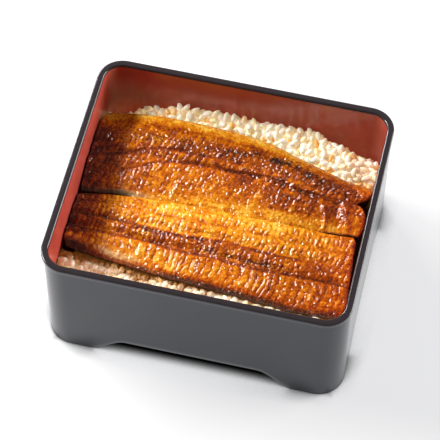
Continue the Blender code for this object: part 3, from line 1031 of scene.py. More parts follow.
    def skirt(self, x: np.ndarray, y: np.ndarray, level: np.ndarray,
              marks: dict[str, np.ndarray]) -> tuple[list, dict[str, list]]:
        """Roll the edge of the top over and down to the rice.

        Args:
            x: The top's places along the box.
            y: The top's places across it.
            level: The top's heights.
            marks: The top's marks.

        Returns:
            One ring of points for each step down, and their marks.
        """
        border = border_of(*x.shape)
        edge = np.column_stack([x.ravel()[border], y.ravel()[border], level.ravel()[border]])
        run = (np.roll(edge, -3, axis=0) - np.roll(edge, 3, axis=0))[:, :2]
        outwards = np.column_stack([run[:, 1], -run[:, 0]])
        outwards /= np.linalg.norm(outwards, axis=1)[:, None]
        rough = Unevenness(self.seed + self.edge_seed)
        roundness = np.ones(len(edge))
        back_start = self.cells_along + self.cells_across
        sides = slice(0, self.cells_along), slice(back_start, back_start + self.cells_along)
        for side, line in zip(sides, (self.front_roundness, self.back_roundness)):
            roundness[side] = line(edge[side, 0])
        swing, size = self.edge_wobble
        wobble = (1 + swing * rough.read(edge[:, 0], edge[:, 1], size, 2)) * roundness
        rings, skins = [], []
        first = math.radians(self.edge_start_degrees)
        for degrees, skin in self.edge_steps:
            angle = math.radians(degrees)
            out = (math.sin(min(angle, math.pi / 2)) - math.sin(first)) / (1 - math.sin(first))
            ring = edge.copy()
            ring[:, :2] += outwards * (self.edge_radius * out * wobble)[:, None]
            ring[:, 2] -= self.edge_drop * (math.cos(first) - math.cos(angle)) * wobble
            rings.append(ring)
            skins.append(skin)
        last = rings[-1]
        for share in (0.4, 0.8, 1.0):
            ring = last.copy()
            ring[:, :2] -= outwards * self.undercut * share
            ring[:, 2] = last[:, 2] + (self.underside - last[:, 2]) * share
            rings.append(ring)
            skins.append(1.0)
        tone, char, skin = (marks[mark].ravel()[border] for mark in ("tone", "char", "skin"))
        return rings, {"tone": [tone + 0.3 * share for share in skins], "char": [char] * len(skins),
                       "skin": [np.maximum(skin, share) for share in skins]}

    def build(self, material: bpy.types.Material, slot: str) -> bpy.types.Object:
        """Build the fillet as one closed form and let it stand for its solid.

        Args:
            material: The glazed finish.
            slot: The record's slot for it; not used.

        Returns:
            The fillet.
        """
        x, y = self.plan()
        level, marks = self.top(x, y)
        rings, ring_marks = self.skirt(x, y, level, marks)
        points = np.concatenate([np.column_stack([x.ravel(), y.ravel(), level.ravel()])] + rings)
        faces = closed_faces(*x.shape, len(rings))
        values = {mark: np.concatenate([grid.ravel()] + ring_marks[mark]) for mark, grid in marks.items()}
        piece = mesh_piece(self.name, points, faces, material, values)
        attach(piece, BODY)
        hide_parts(self.node)
        return piece


@dataclass
class RiceBed:
    """The rice: a packed core with an uneven top, and the loose grains on what shows of it."""

    box: LacquerBox
    front_edge: Line
    back_edge: Line
    crest: Line
    clearance: float = 0.3 * MM
    bed_level: float = 41.0 * MM
    back_rise: float = 3.0 * MM
    front_rise: float = 0.8 * MM
    rise_width: float = 5.0 * MM
    rise_start: float = 2.4 * MM
    fall_slope: float = 1.7
    fall_depth: float = 15.0 * MM
    end_sink: float = 9.0 * MM
    end_start: float = 65.5 * MM
    corner_sink: float = 4.4 * MM
    corner_end: float = -50.0 * MM
    lump_height: float = 1.9 * MM
    lump_size: float = 9.5 * MM
    grain_length: float = 5.4 * MM
    grain_width: float = 2.9 * MM
    grain_height: float = 2.5 * MM
    grain_sides: int = 9
    grain_bands: int = 6
    grain_sizes: tuple[float, float] = (0.82, 1.08)
    most_grains: float = 4.0e5
    rank: Vector = Vector((10.0, 1.0, 1000.0))
    core_cell: float = 0.8 * MM
    patch_cell: float = 0.75 * MM
    core_relief: tuple[float, float] = (0.35 * MM, 2.6 * MM)
    core_seed: int = 23
    core_tone: float = 0.2
    # stain mark of the sunk rice at the fillets' ends, above 1 so that it is painted near-black as shade
    soaked_and_shaded: float = 1.6
    corner_ease: float = 14.0 * MM
    end_ease: float = 1.5 * MM
    end_gap: float = 4.0 * MM
    wall_margin: float = 1.0 * MM
    grain_margin: float = 0.12 * MM
    stain_seed: int = 91
    stain_size: float = 9.0 * MM
    stain_behind: tuple[float, float] = (0.65, 2.2 * MM)
    # near the front fillet's edge this stain is partly painted shade
    stain_and_shade_before: tuple[float, float] = (1.3, 6.0 * MM)
    drift_behind: tuple[float, float] = (0.45, 0.2)
    drift_before: float = 0.4
    before_fade: tuple[float, float, float] = (0.7, -5 * MM, 25 * MM)
    right_stain: tuple[float, float, float] = (0.5, 40 * MM, 25 * MM)
    # stain and painted shade over the front rice towards the left
    left_stain_and_shade: tuple[float, float, float] = (0.27, -50 * MM, 35 * MM)

    def level(self, x: np.ndarray, y: np.ndarray) -> np.ndarray:
        """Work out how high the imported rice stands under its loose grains.

        Args:
            x: Places along the box.
            y: Places across it.

        Returns:
            Heights.
        """
        front, back = self.front_edge(x), self.back_edge(x)
        rise = self.back_rise * smooth_step((y - back - self.rise_start) / self.rise_width)
        rise = rise + self.front_rise * smooth_step((front - y - self.rise_start) / self.rise_width)
        in_corner = smooth_step((self.corner_end - x) / self.corner_ease)
        rise = rise * (1 - in_corner) - self.corner_sink * in_corner * (y > back)
        beyond = np.maximum(y - self.crest(x), 0.0)
        fall = np.minimum(beyond * self.fall_slope, self.fall_depth)
        flat = zip(x.ravel() / self.lump_size, y.ravel() / self.lump_size)
        lumps = np.array([noise.noise(Vector((u, v, 0.0))) for u, v in flat]).reshape(x.shape)
        loose = (rise != 0) | (beyond > 0)
        lumps = np.where(loose, self.lump_height * lumps, 0.0)
        return self.bed_level + rise - fall - self.end_dip(x, y) + lumps

    def end_dip(self, x: np.ndarray, y: np.ndarray) -> np.ndarray:
        """Return how far the rice sinks at the ends of the fillets, where sauce has run down."""
        beside = (y > self.front_edge(x)) & (y < self.back_edge(x) - self.end_gap)
        return self.end_sink * smooth_step((np.abs(x) - self.end_start) / self.end_ease) * beside

    def half_length_at(self, y: np.ndarray, margin: float) -> np.ndarray:
        """Work out how far the cavity reaches along X.

        Args:
            y: Places across it.
            margin: Distance to keep from its wall.

        Returns:
            Half its length at each place.
        """
        corner = self.box.inner_corner
        past = np.clip(np.abs(y) - (self.box.inner_half_depth - corner), 0.0, corner - margin)
        return self.box.inner_half_length - corner + np.sqrt((corner - margin) ** 2 - past ** 2)

    def stain(self, x: np.ndarray, y: np.ndarray) -> np.ndarray:
        """Work out how much sauce has soaked in: most beside the fillets and in drifts. Before the front
        fillet it also holds painted shade, strongest at the fillet's edge and raised towards the left.

        Args:
            x: Places along the box.
            y: Places across it.

        Returns:
            Shares between 0 and 1.
        """
        front, back = self.front_edge(x), self.back_edge(x)
        drift = Unevenness(self.stain_seed).read(x, y, self.stain_size, 2)
        fading, to_right, left_stain_and_shade_share = (amount * smooth_step((x - start) / width) for amount, start, width
                                     in (self.before_fade, self.right_stain, self.left_stain_and_shade))
        (amount, reach), (swing, middle) = self.stain_behind, self.drift_behind
        behind = amount * np.exp(-np.maximum(y - back, 0.0) / reach)
        behind = behind + swing * (drift - middle) + to_right
        # before the front fillet: sauce stain and painted shade, darkest at its edge and towards the left
        amount, reach = self.stain_and_shade_before
        before = amount * np.exp(-np.maximum(front - y, 0.0) / reach) * (1 - fading)
        before = before + self.drift_before * drift + self.left_stain_and_shade[0] - left_stain_and_shade_share
        spread = np.where(y > 0, behind, before)
        return np.clip(np.where((y > front) & (y < back), 1.0, spread), 0.0, 1.0)

    def build_core(self, material: bpy.types.Material) -> bpy.types.Object:
        """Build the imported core, a closed form that fills the box up to the rice's level.

        Args:
            material: The rice's finish.

        Returns:
            The core.
        """
        across = round(2 * self.box.inner_half_depth / self.core_cell)
        along = round(2 * self.box.inner_half_length / self.core_cell)
        reach = self.box.inner_half_depth - self.clearance
        y = np.linspace(-reach, reach, across + 1)[None, :] + np.zeros((along + 1, 1))
        x = np.linspace(-1.0, 1.0, along + 1)[:, None] * self.half_length_at(y, self.clearance)
        relief, relief_size = self.core_relief
        level = self.level(x, y) + relief * Unevenness(self.core_seed).read(x, y, relief_size, 2)
        shown = (y > self.back_edge(x)) | (y < self.front_edge(x))
        level = np.where(shown, level, np.minimum(level, self.bed_level))
        top = np.column_stack([x.ravel(), y.ravel(), level.ravel()])
        edge = top[border_of(*x.shape)]
        rings, fillet = [], self.box.floor_fillet
        floor = self.box.floor_level + self.clearance
        for shrink, height in ((0.0, floor + fillet), (0.3, floor + 0.3 * fillet), (1.0, floor)):
            inwards = np.clip(np.abs(edge[:, :2]) - shrink * fillet, 0.0, None)
            rings.append(np.column_stack([np.sign(edge[:, :2]) * inwards, np.full(len(edge), height)]))
        points = np.concatenate([top] + rings)
        sauce = 0.3 + 0.7 * self.stain(points[:, 0], points[:, 1])
        # the sunk rice at the fillets' ends is painted near-black: sauce and painted shade in the gap
        sunk = self.end_dip(points[:, 0], points[:, 1]) > 0.4 * MM
        marks = {"tone": np.full(len(points), self.core_tone),
                 "stain": np.where(sunk, self.soaked_and_shaded, sauce)}
        return mesh_piece("rice_core", points, closed_faces(*x.shape, len(rings)), material, marks)

    def grain_kinds(self) -> bpy.types.Collection:
        """Shape a few kinds of grain, plump ovals with a slight bend.

        Blender numbers a ball's points in any order, so they are ranked by their places.

        Returns:
            A collection that holds one object for each kind.
        """
        kinds = bpy.data.collections.new("grain_kinds")
        for number, (bend, taper) in enumerate(((0.10, 0.10), (-0.06, 0.22), (0.16, -0.12))):
            form = bmesh.new()
            bmesh.ops.create_uvsphere(form, u_segments=self.grain_sides, v_segments=self.grain_bands,
                                      radius=0.5)
            form.verts.sort(key=lambda vertex: vertex.co.dot(self.rank))
            form.faces.sort(key=lambda face: face.calc_center_median().dot(self.rank))
            for vertex in form.verts:
                along = 2 * vertex.co.z
                plump = 1.0 + 0.14 * (1 - along * along)
                narrow = 1.0 - taper * along
                vertex.co = Vector((vertex.co.z * self.grain_length,
                                    vertex.co.x * self.grain_width * plump * narrow
                                    + bend * self.grain_width * along * along,
                                    vertex.co.y * self.grain_height * plump * narrow))
            bmesh.ops.recalc_face_normals(form, faces=form.faces)
            mesh = bpy.data.meshes.new(f"grain_kind_{number}")
            form.to_mesh(mesh)
            form.free()
            kinds.objects.link(bpy.data.objects.new(mesh.name, mesh))
        return kinds

    def laying_tree(self) -> bpy.types.NodeTree:
        """Build the node tree that lays grains on a patch of rice.

        Returns:
            The tree, with named inputs for the spacing, the lift, the seed and the grains.
        """
        tree = bpy.data.node_groups.new("lay_rice_grains", "GeometryNodeTree")
        wanted = (("Patch", "NodeSocketGeometry"), ("Grains", "NodeSocketCollection"),
                  ("Spacing", "NodeSocketFloat"), ("Lift", "NodeSocketFloat"), ("Tilt", "NodeSocketFloat"),
                  ("Seed", "NodeSocketInt"), ("Finish", "NodeSocketMaterial"))
        for name, kind in wanted:
            tree.interface.new_socket(name=name, in_out="INPUT", socket_type=kind)
        tree.interface.new_socket(name="Laid", in_out="OUTPUT", socket_type="NodeSocketGeometry")
        given = add_node(tree, "NodeGroupInput").outputs
        spread = add_node(tree, "GeometryNodeDistributePointsOnFaces", {"distribute_method": "POISSON"},
                          {"Mesh": given["Patch"], "Distance Min": given["Spacing"],
                           "Density Max": self.most_grains, "Seed": given["Seed"]})
        tilt_down = add_math(tree, "MULTIPLY", given["Tilt"], -1.0)
        ends = (tilt_down, tilt_down, 0.0), (given["Tilt"], given["Tilt"], 2 * math.pi)
        least, most = (add_node(tree, "ShaderNodeCombineXYZ", inputs=dict(enumerate(end))).outputs[0]
                       for end in ends)
        turn = add_node(tree, "FunctionNodeRandomValue", {"data_type": "FLOAT_VECTOR"},
                        {0: least, 1: most, "Seed": given["Seed"]}).outputs[0]
        size, draw = (add_node(tree, "FunctionNodeRandomValue", {"data_type": "FLOAT"},
                               {2: low, 3: high, "Seed": given["Seed"]}).outputs[1]
                      for low, high in (self.grain_sizes, (0.0, 1.0)))
        kinds = add_node(tree, "GeometryNodeCollectionInfo",
                         inputs={"Collection": given["Grains"], "Separate Children": True,
                                 "Reset Children": True})
        placed = add_node(tree, "GeometryNodeInstanceOnPoints",
                          inputs={"Points": spread.outputs["Points"], "Instance": kinds.outputs[0],
                                  "Pick Instance": True, "Rotation": turn, "Scale": size})
        rise = add_node(tree, "ShaderNodeCombineXYZ", inputs={2: given["Lift"]})
        lifted = add_node(tree, "GeometryNodeTranslateInstances",
                          inputs={"Instances": placed.outputs[0], "Translation": rise.outputs[0],
                                  "Local Space": False})
        toned = add_node(tree, "GeometryNodeStoreNamedAttribute",
                         {"data_type": "FLOAT", "domain": "INSTANCE"},
                         {"Geometry": lifted.outputs[0], "Name": "tone", "Value": draw})
        real = add_node(tree, "GeometryNodeRealizeInstances", inputs={0: toned.outputs[0]})
        smooth = add_node(tree, "GeometryNodeSetShadeSmooth", inputs={0: real.outputs[0]})
        finished = add_node(tree, "GeometryNodeSetMaterial",
                            inputs={"Geometry": smooth.outputs[0], "Material": given["Finish"]})
        add_node(tree, "NodeGroupOutput", inputs={0: finished.outputs[0]})
        return tree

    def patch(self, behind: bool, margin: float) -> bpy.types.Object:
        """Make the patch of rice that shows behind or before the fillets.

        Args:
            behind: Whether it is the one behind them.
            margin: Distance that it keeps from the fillets.

        Returns:
            A temporary object with the patch's surface.
        """
        x, y = np.meshgrid(*(np.arange(-half + self.wall_margin, half - self.wall_margin, self.patch_cell)
                             for half in (self.box.inner_half_length, self.box.inner_half_depth)),
                           indexing="ij")
        inside = np.abs(x) < self.half_length_at(y, self.wall_margin)
        shown = y > self.back_edge(x) + margin if behind else y < self.front_edge(x) - margin
        keep = (inside & shown).ravel()
        points = np.column_stack([x.ravel(), y.ravel(), self.level(x, y).ravel()])
        faces = [face[::-1] for face in grid_faces(*x.shape) if all(keep[index] for index in face)]
        mesh = bpy.data.meshes.new("patch")
        mesh.from_pydata(points.tolist(), [], faces)
        return add_object("patch", mesh)

    def lay(self, tree: bpy.types.NodeTree, kinds: bpy.types.Collection, material: bpy.types.Material,
            behind: bool, spacing: float, lift: float, tilt: float, seed: int) -> bpy.types.Mesh:
        """Lay one layer of grains.

        Args:
            tree: The laying tree.
            kinds: The kinds of grain.
            material: The rice's finish.
            behind: Whether they lie behind the fillets.
            spacing: Least distance between two grains.
            lift: Height of their middles above the core.
            tilt: Most that one leans, in radians.
            seed: Seed of the draw.

        Returns:
            The grains as one plain mesh.
        """
        patch = self.patch(behind, (0.9 if behind else 0.1) * MM)
        laying = patch.modifiers.new("lay_rice_grains", "NODES")
        laying.node_group = tree
        values = {"Grains": kinds, "Spacing": spacing, "Lift": lift, "Tilt": tilt, "Seed": seed,
                  "Finish": material}
        for item in tree.interface.items_tree:
            if item.in_out == "INPUT" and item.name in values:
                laying[item.identifier] = values[item.name]
        bpy.context.view_layer.update()
        graph = bpy.context.evaluated_depsgraph_get()
        laid = bpy.data.meshes.new_from_object(patch.evaluated_get(graph), depsgraph=graph)
        patch.modifiers.clear()
        bpy.data.objects.remove(patch, do_unlink=True)
        return laid

    def press_in(self, points: np.ndarray) -> np.ndarray:
        """Press grains that would cross a wall against it.

        Args:
            points: The grains' points.

        Returns:
            The points inside the cavity.
        """
        pressed = points.copy()
        deep = self.box.inner_half_depth - self.grain_margin
        pressed[:, 1] = np.clip(points[:, 1], -deep, deep)
        reach = self.half_length_at(pressed[:, 1], self.grain_margin)
        pressed[:, 0] = np.clip(points[:, 0], -reach, reach)
        return pressed

    def build_grains(self, name: str, meshes: list[bpy.types.Mesh],
                     material: bpy.types.Material) -> bpy.types.Object:
        """Join layers of grains into one piece, with each grain's tone and sauce.

        Blender lays them out in any order, so each layer is sorted by its grains' places.

        Args:
            name: The piece's name.
            meshes: The layers.
            material: The rice's finish.

        Returns:
            The piece.
        """
        points, faces, tones, first = [], [], [], 0
        size = self.grain_sides * (self.grain_bands - 1) + 2
        for mesh in meshes:
            count = len(mesh.vertices)
            flat, tone = np.empty(count * 3), np.empty(count)
            mesh.vertices.foreach_get("co", flat)
            mesh.attributes["tone"].data.foreach_get("value", tone)
            grains = flat.reshape(-1, size, 3)
            order = np.lexsort(grains.mean(axis=1).T)
            points.append(grains[order].reshape(-1, 3))
            tones.append(tone.reshape(-1, size)[order].ravel())
            each = len(mesh.polygons) // len(grains)
            corners = [np.array(face.vertices) for face in mesh.polygons]
            for new, old in enumerate(order):
                shift = first + (new - old) * size
                faces += [(face + shift).tolist() for face in corners[old * each:(old + 1) * each]]
            first += count
            bpy.data.meshes.remove(mesh)
        pressed = self.press_in(np.concatenate(points))
        marks = {"tone": np.concatenate(tones), "stain": self.stain(pressed[:, 0], pressed[:, 1])}
        return mesh_piece(name, pressed, faces, material, marks)

    def build(self, material: bpy.types.Material) -> list[bpy.types.Object]:
        """Build the rice and let its pieces stand for its solid.

        Args:
            material: The rice's finish.

        Returns:
            The core and the grains behind and before the fillets.
        """
        kinds, tree = self.grain_kinds(), self.laying_tree()
        layers = {"rice_grains_back": ((True, 2.5, 0.7, 0.35, 3), (True, 3.5, 2.2, 0.7, 7)),
                  "rice_grains_front": ((False, 2.3, 0.15, 0.2, 4), (False, 4.0, 0.8, 0.4, 9))}
        pieces = [self.build_core(material)]
        for name, chosen in layers.items():
            laid = [self.lay(tree, kinds, material, behind, spacing * MM, lift * MM, tilt, seed)
                    for behind, spacing, lift, tilt, seed in chosen]
            pieces.append(self.build_grains(name, laid, material))
        for kind in list(kinds.objects):
            bpy.data.objects.remove(kind, do_unlink=True)
        bpy.data.collections.remove(kinds)
        bpy.data.node_groups.remove(tree)
        for piece in pieces:
            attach(piece, BODY)
            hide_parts("rice_bed")
        return pieces


@dataclass(frozen=True)
class AreaLight:
    """An oblong soft light: where it hangs from the food, its size in metres and its power in watts."""

    name: str
    direction: tuple[float, float]
    elevation: float
    distance: float
    size: tuple[float, float]
    power: float
    colour: tuple[float, float, float]

    def hang(self, aim: Vector) -> bpy.types.Object:
        """Add the light to the scene.

        Args:
            aim: The point that it faces.

        Returns:
            The light.
        """
        rise = math.radians(self.elevation)
        flat = Vector((*self.direction, 0.0)).normalized() * math.cos(rise)
        place = aim + (flat + Vector((0.0, 0.0, math.sin(rise)))) * self.distance
        data = bpy.data.lights.new(self.name, "AREA")
        data.shape, data.energy, data.color = "RECTANGLE", self.power, self.colour
        data.size, data.size_y = self.size
        light = add_object(self.name, data)
        light.location = place
        light.rotation_euler = (aim - place).to_track_quat("-Z", "Y").to_euler()
        return light


@dataclass
class Studio:
    """A pale floor, a soft key light from the left, a broad fill, and the camera."""

    target: Vector = Vector((-5.82 * MM, 25.32 * MM, 0.0))
    camera_azimuth: float = 12.5184
    camera_elevation: float = 56.9765
    camera_roll: float = 0.7551
    camera_distance: float = 1.12398
    lens_mm: float = 176.87
    sensor_mm: float = 36.0
    food_level: float = 48.0 * MM
    floor_half_size: float = 3.0
    floor_colour: str = "#858587"
    floor_glow: float = 0.66
    floor_tint: tuple[float, ...] = (0.98, 0.985, 1.0, 1.0)
    floor_roughness: float = 0.7
    floor_specular: float = 0.2
    # painted light on the floor: its glow is raised towards the left
    left_painted_light: float = 1.35
    left_painted_light_range: tuple[float, float] = (-0.10, 0.05)
    # painted shade on the floor: glow and colour fall away near the box's walls and under it
    shadow_reach: float = 0.02
    shadow_range: tuple[float, float] = (0.42, 0.70)
    painted_shade_under_box: tuple[tuple[str, float, float], ...] = (("X", 66 * MM, 73 * MM), ("Y", 58 * MM, 65 * MM))
    lights: tuple[AreaLight, ...] = (
        AreaLight("key", (-0.976, 0.216), 42.5, 1.5, (0.70, 0.30), 34.5, (1.0, 0.97, 0.92)),
        AreaLight("fill", (0.90, 0.40), 17.0, 1.4, (0.8, 0.5), 28.5, (1.0, 0.98, 0.95)),
        AreaLight("card", (-0.69, 0.72), 24.0, 1.5, (0.50, 0.30), 20.0, (1.0, 0.96, 0.95)))
    sky: tuple[float, float] = (0.22, 0.08)
    sky_tint: tuple[float, ...] = (0.95, 0.97, 1.0, 1.0)

    def build_floor(self) -> bpy.types.Object:
        """Lay the pale floor, which glows like a lit table, with painted shade where the box covers it and
        close to its walls, and painted light towards the left.

        Returns:
            The floor.
        """
        material, tree, place = new_material("pale_floor")
        # painted shade: the floor's glow and colour are cut by occlusion near the box and by its footprint
        cover = add_node(tree, "ShaderNodeAmbientOcclusion", {"samples": 8}, {"Distance": self.shadow_reach})
        open_share = add_range(tree, cover.outputs["AO"], self.shadow_range, kind="SMOOTHSTEP")
        parts = add_node(tree, "ShaderNodeSeparateXYZ", inputs={0: place}).outputs
        beyond = [add_range(tree, add_math(tree, "ABSOLUTE", parts[axis]), (dark_to, light_from),
                            kind="SMOOTHSTEP") for axis, dark_to, light_from in self.painted_shade_under_box]
        lit = add_math(tree, "MULTIPLY", open_share, add_math(tree, "MAXIMUM", *beyond))
        # painted light: the glow rises towards the left
        side = add_range(tree, parts["X"], self.left_painted_light_range, (self.left_painted_light, 1.0))
        glow = add_math(tree, "MULTIPLY", add_math(tree, "MULTIPLY", lit, side), self.floor_glow)
        shaded = add_node(tree, "ShaderNodeVectorMath", {"operation": "SCALE"},
                          {0: linear(self.floor_colour)[:3], "Scale": lit})
        close_material(material, {
            "Base Color": shaded.outputs[0], "Roughness": self.floor_roughness,
            "Specular IOR Level": self.floor_specular, "Emission Color": self.floor_tint,
            "Emission Strength": glow})
        half = self.floor_half_size
        corners = np.array([(-half, -half, 0), (half, -half, 0), (half, half, 0), (-half, half, 0)])
        floor = mesh_piece("floor", corners, [[0, 1, 2, 3]], material)
        return floor

    def build_lights(self) -> None:
        """Hang the key, the fill and a small card for the rim, and light the sky.

        The sky is brightest at its foot.
        """
        for light in self.lights:
            light.hang(Vector((0.0, 0.0, self.food_level)))
        world = bpy.data.worlds.new("studio_air")
        bpy.context.scene.world = world
        world.use_nodes = True
        tree = world.node_tree
        tree.nodes.clear()
        direction = add_node(tree, "ShaderNodeTexCoord").outputs["Generated"]
        height = add_node(tree, "ShaderNodeSeparateXYZ", inputs={0: direction}).outputs["Z"]
        glow = add_range(tree, height, (0.0, 0.4), self.sky, "SMOOTHSTEP")
        air = add_node(tree, "ShaderNodeBackground", inputs={"Color": self.sky_tint, "Strength": glow})
        add_node(tree, "ShaderNodeOutputWorld", inputs={"Surface": air.outputs[0]})

    def build_camera(self) -> bpy.types.Object:
        """Set up the camera at the photograph's angle.

        Returns:
            The camera.
        """
        azimuth, elevation, roll = (math.radians(angle) for angle in
                                    (self.camera_azimuth, self.camera_elevation, self.camera_roll))
        back = Vector((math.sin(azimuth) * math.cos(elevation), -math.cos(azimuth) * math.cos(elevation),
                       math.sin(elevation)))
        right = Vector((0.0, 0.0, 1.0)).cross(back).normalized()
        up = back.cross(right)
        turned_right = right * math.cos(roll) + up * math.sin(roll)
        turned_up = up * math.cos(roll) - right * math.sin(roll)
        data = bpy.data.cameras.new("camera")
        data.sensor_width, data.lens = self.sensor_mm, self.lens_mm
        data.clip_start, data.clip_end = 0.05, 20.0
        camera = add_object("camera", data)
        placed = Matrix((turned_right, turned_up, back)).transposed().to_4x4()
        placed.translation = self.target + back * self.camera_distance
        camera.matrix_world = placed
        bpy.context.scene.camera = camera
        return camera

    def build(self) -> None:
        """Set up the floor, the lights, the camera and the plain view of colour."""
        self.build_floor()
        self.build_lights()
        self.build_camera()
        bpy.context.scene.view_settings.view_transform = "Standard"


def shifted(line: Line, by_mm: float) -> Line:
    """Return a line moved towards the back by some millimetres."""
    return lambda x: line(x) + by_mm * MM


def share_line(*points: tuple[float, float]) -> SmoothLine:
    """Return values in millimetres at shares of the fillet's width."""
    return SmoothLine(points, place_unit=1.0)


def tone_line(*points: tuple[float, float]) -> SmoothLine:
    """Return tones at places in millimetres along the box."""
    return SmoothLine(points, value_unit=1.0)


def painted_shade_left(*points: tuple[float, float]) -> SmoothLine:
    """Return tones that start with painted shade at the fillets' left end, where the left wall's shadow
    falls.
    """
    return tone_line((-72, 0.8), (-63, 0.7), *points)


def muscle_row(lower: Line, lower_mm: float, upper: Line, upper_mm: float, height_mm: float,
               pitch_mm: float, slant: float, seed: int, **more: float) -> MuscleRow:
    """Return a row of muscle between two lines, each moved by some millimetres."""
    return MuscleRow(shifted(lower, lower_mm), shifted(upper, upper_mm), height_mm * MM, pitch_mm * MM,
                     slant, seed, **more)


SEAM = SmoothLine(((-72, -3.5), (-53, -0.6), (-40, 0.0), (-15, 1.0), (25, 1.0), (54, 1.3), (72, 2.8)))
BACK_EDGE = SmoothLine(((-72, 45.5), (-64, 47.8), (-44, 50.2), (-25, 50.5), (-10, 50.0), (15, 47.0),
                        (30, 41.8), (45, 37.0), (59, 32.8), (72, 31.0)))
FRONT_EDGE = SmoothLine(((-72, -35.0), (-53, -37.6), (-28, -40.3), (-8, -42.0), (11, -42.9),
                         (38, -44.9), (51, -45.8), (72, -44.5)))
RICE_CREST = SmoothLine(((-72, 49.0), (-48, 54.5), (-15, 60.5), (27, 60.5), (44, 54.5), (60, 48.5),
                         (72, 45.0)))


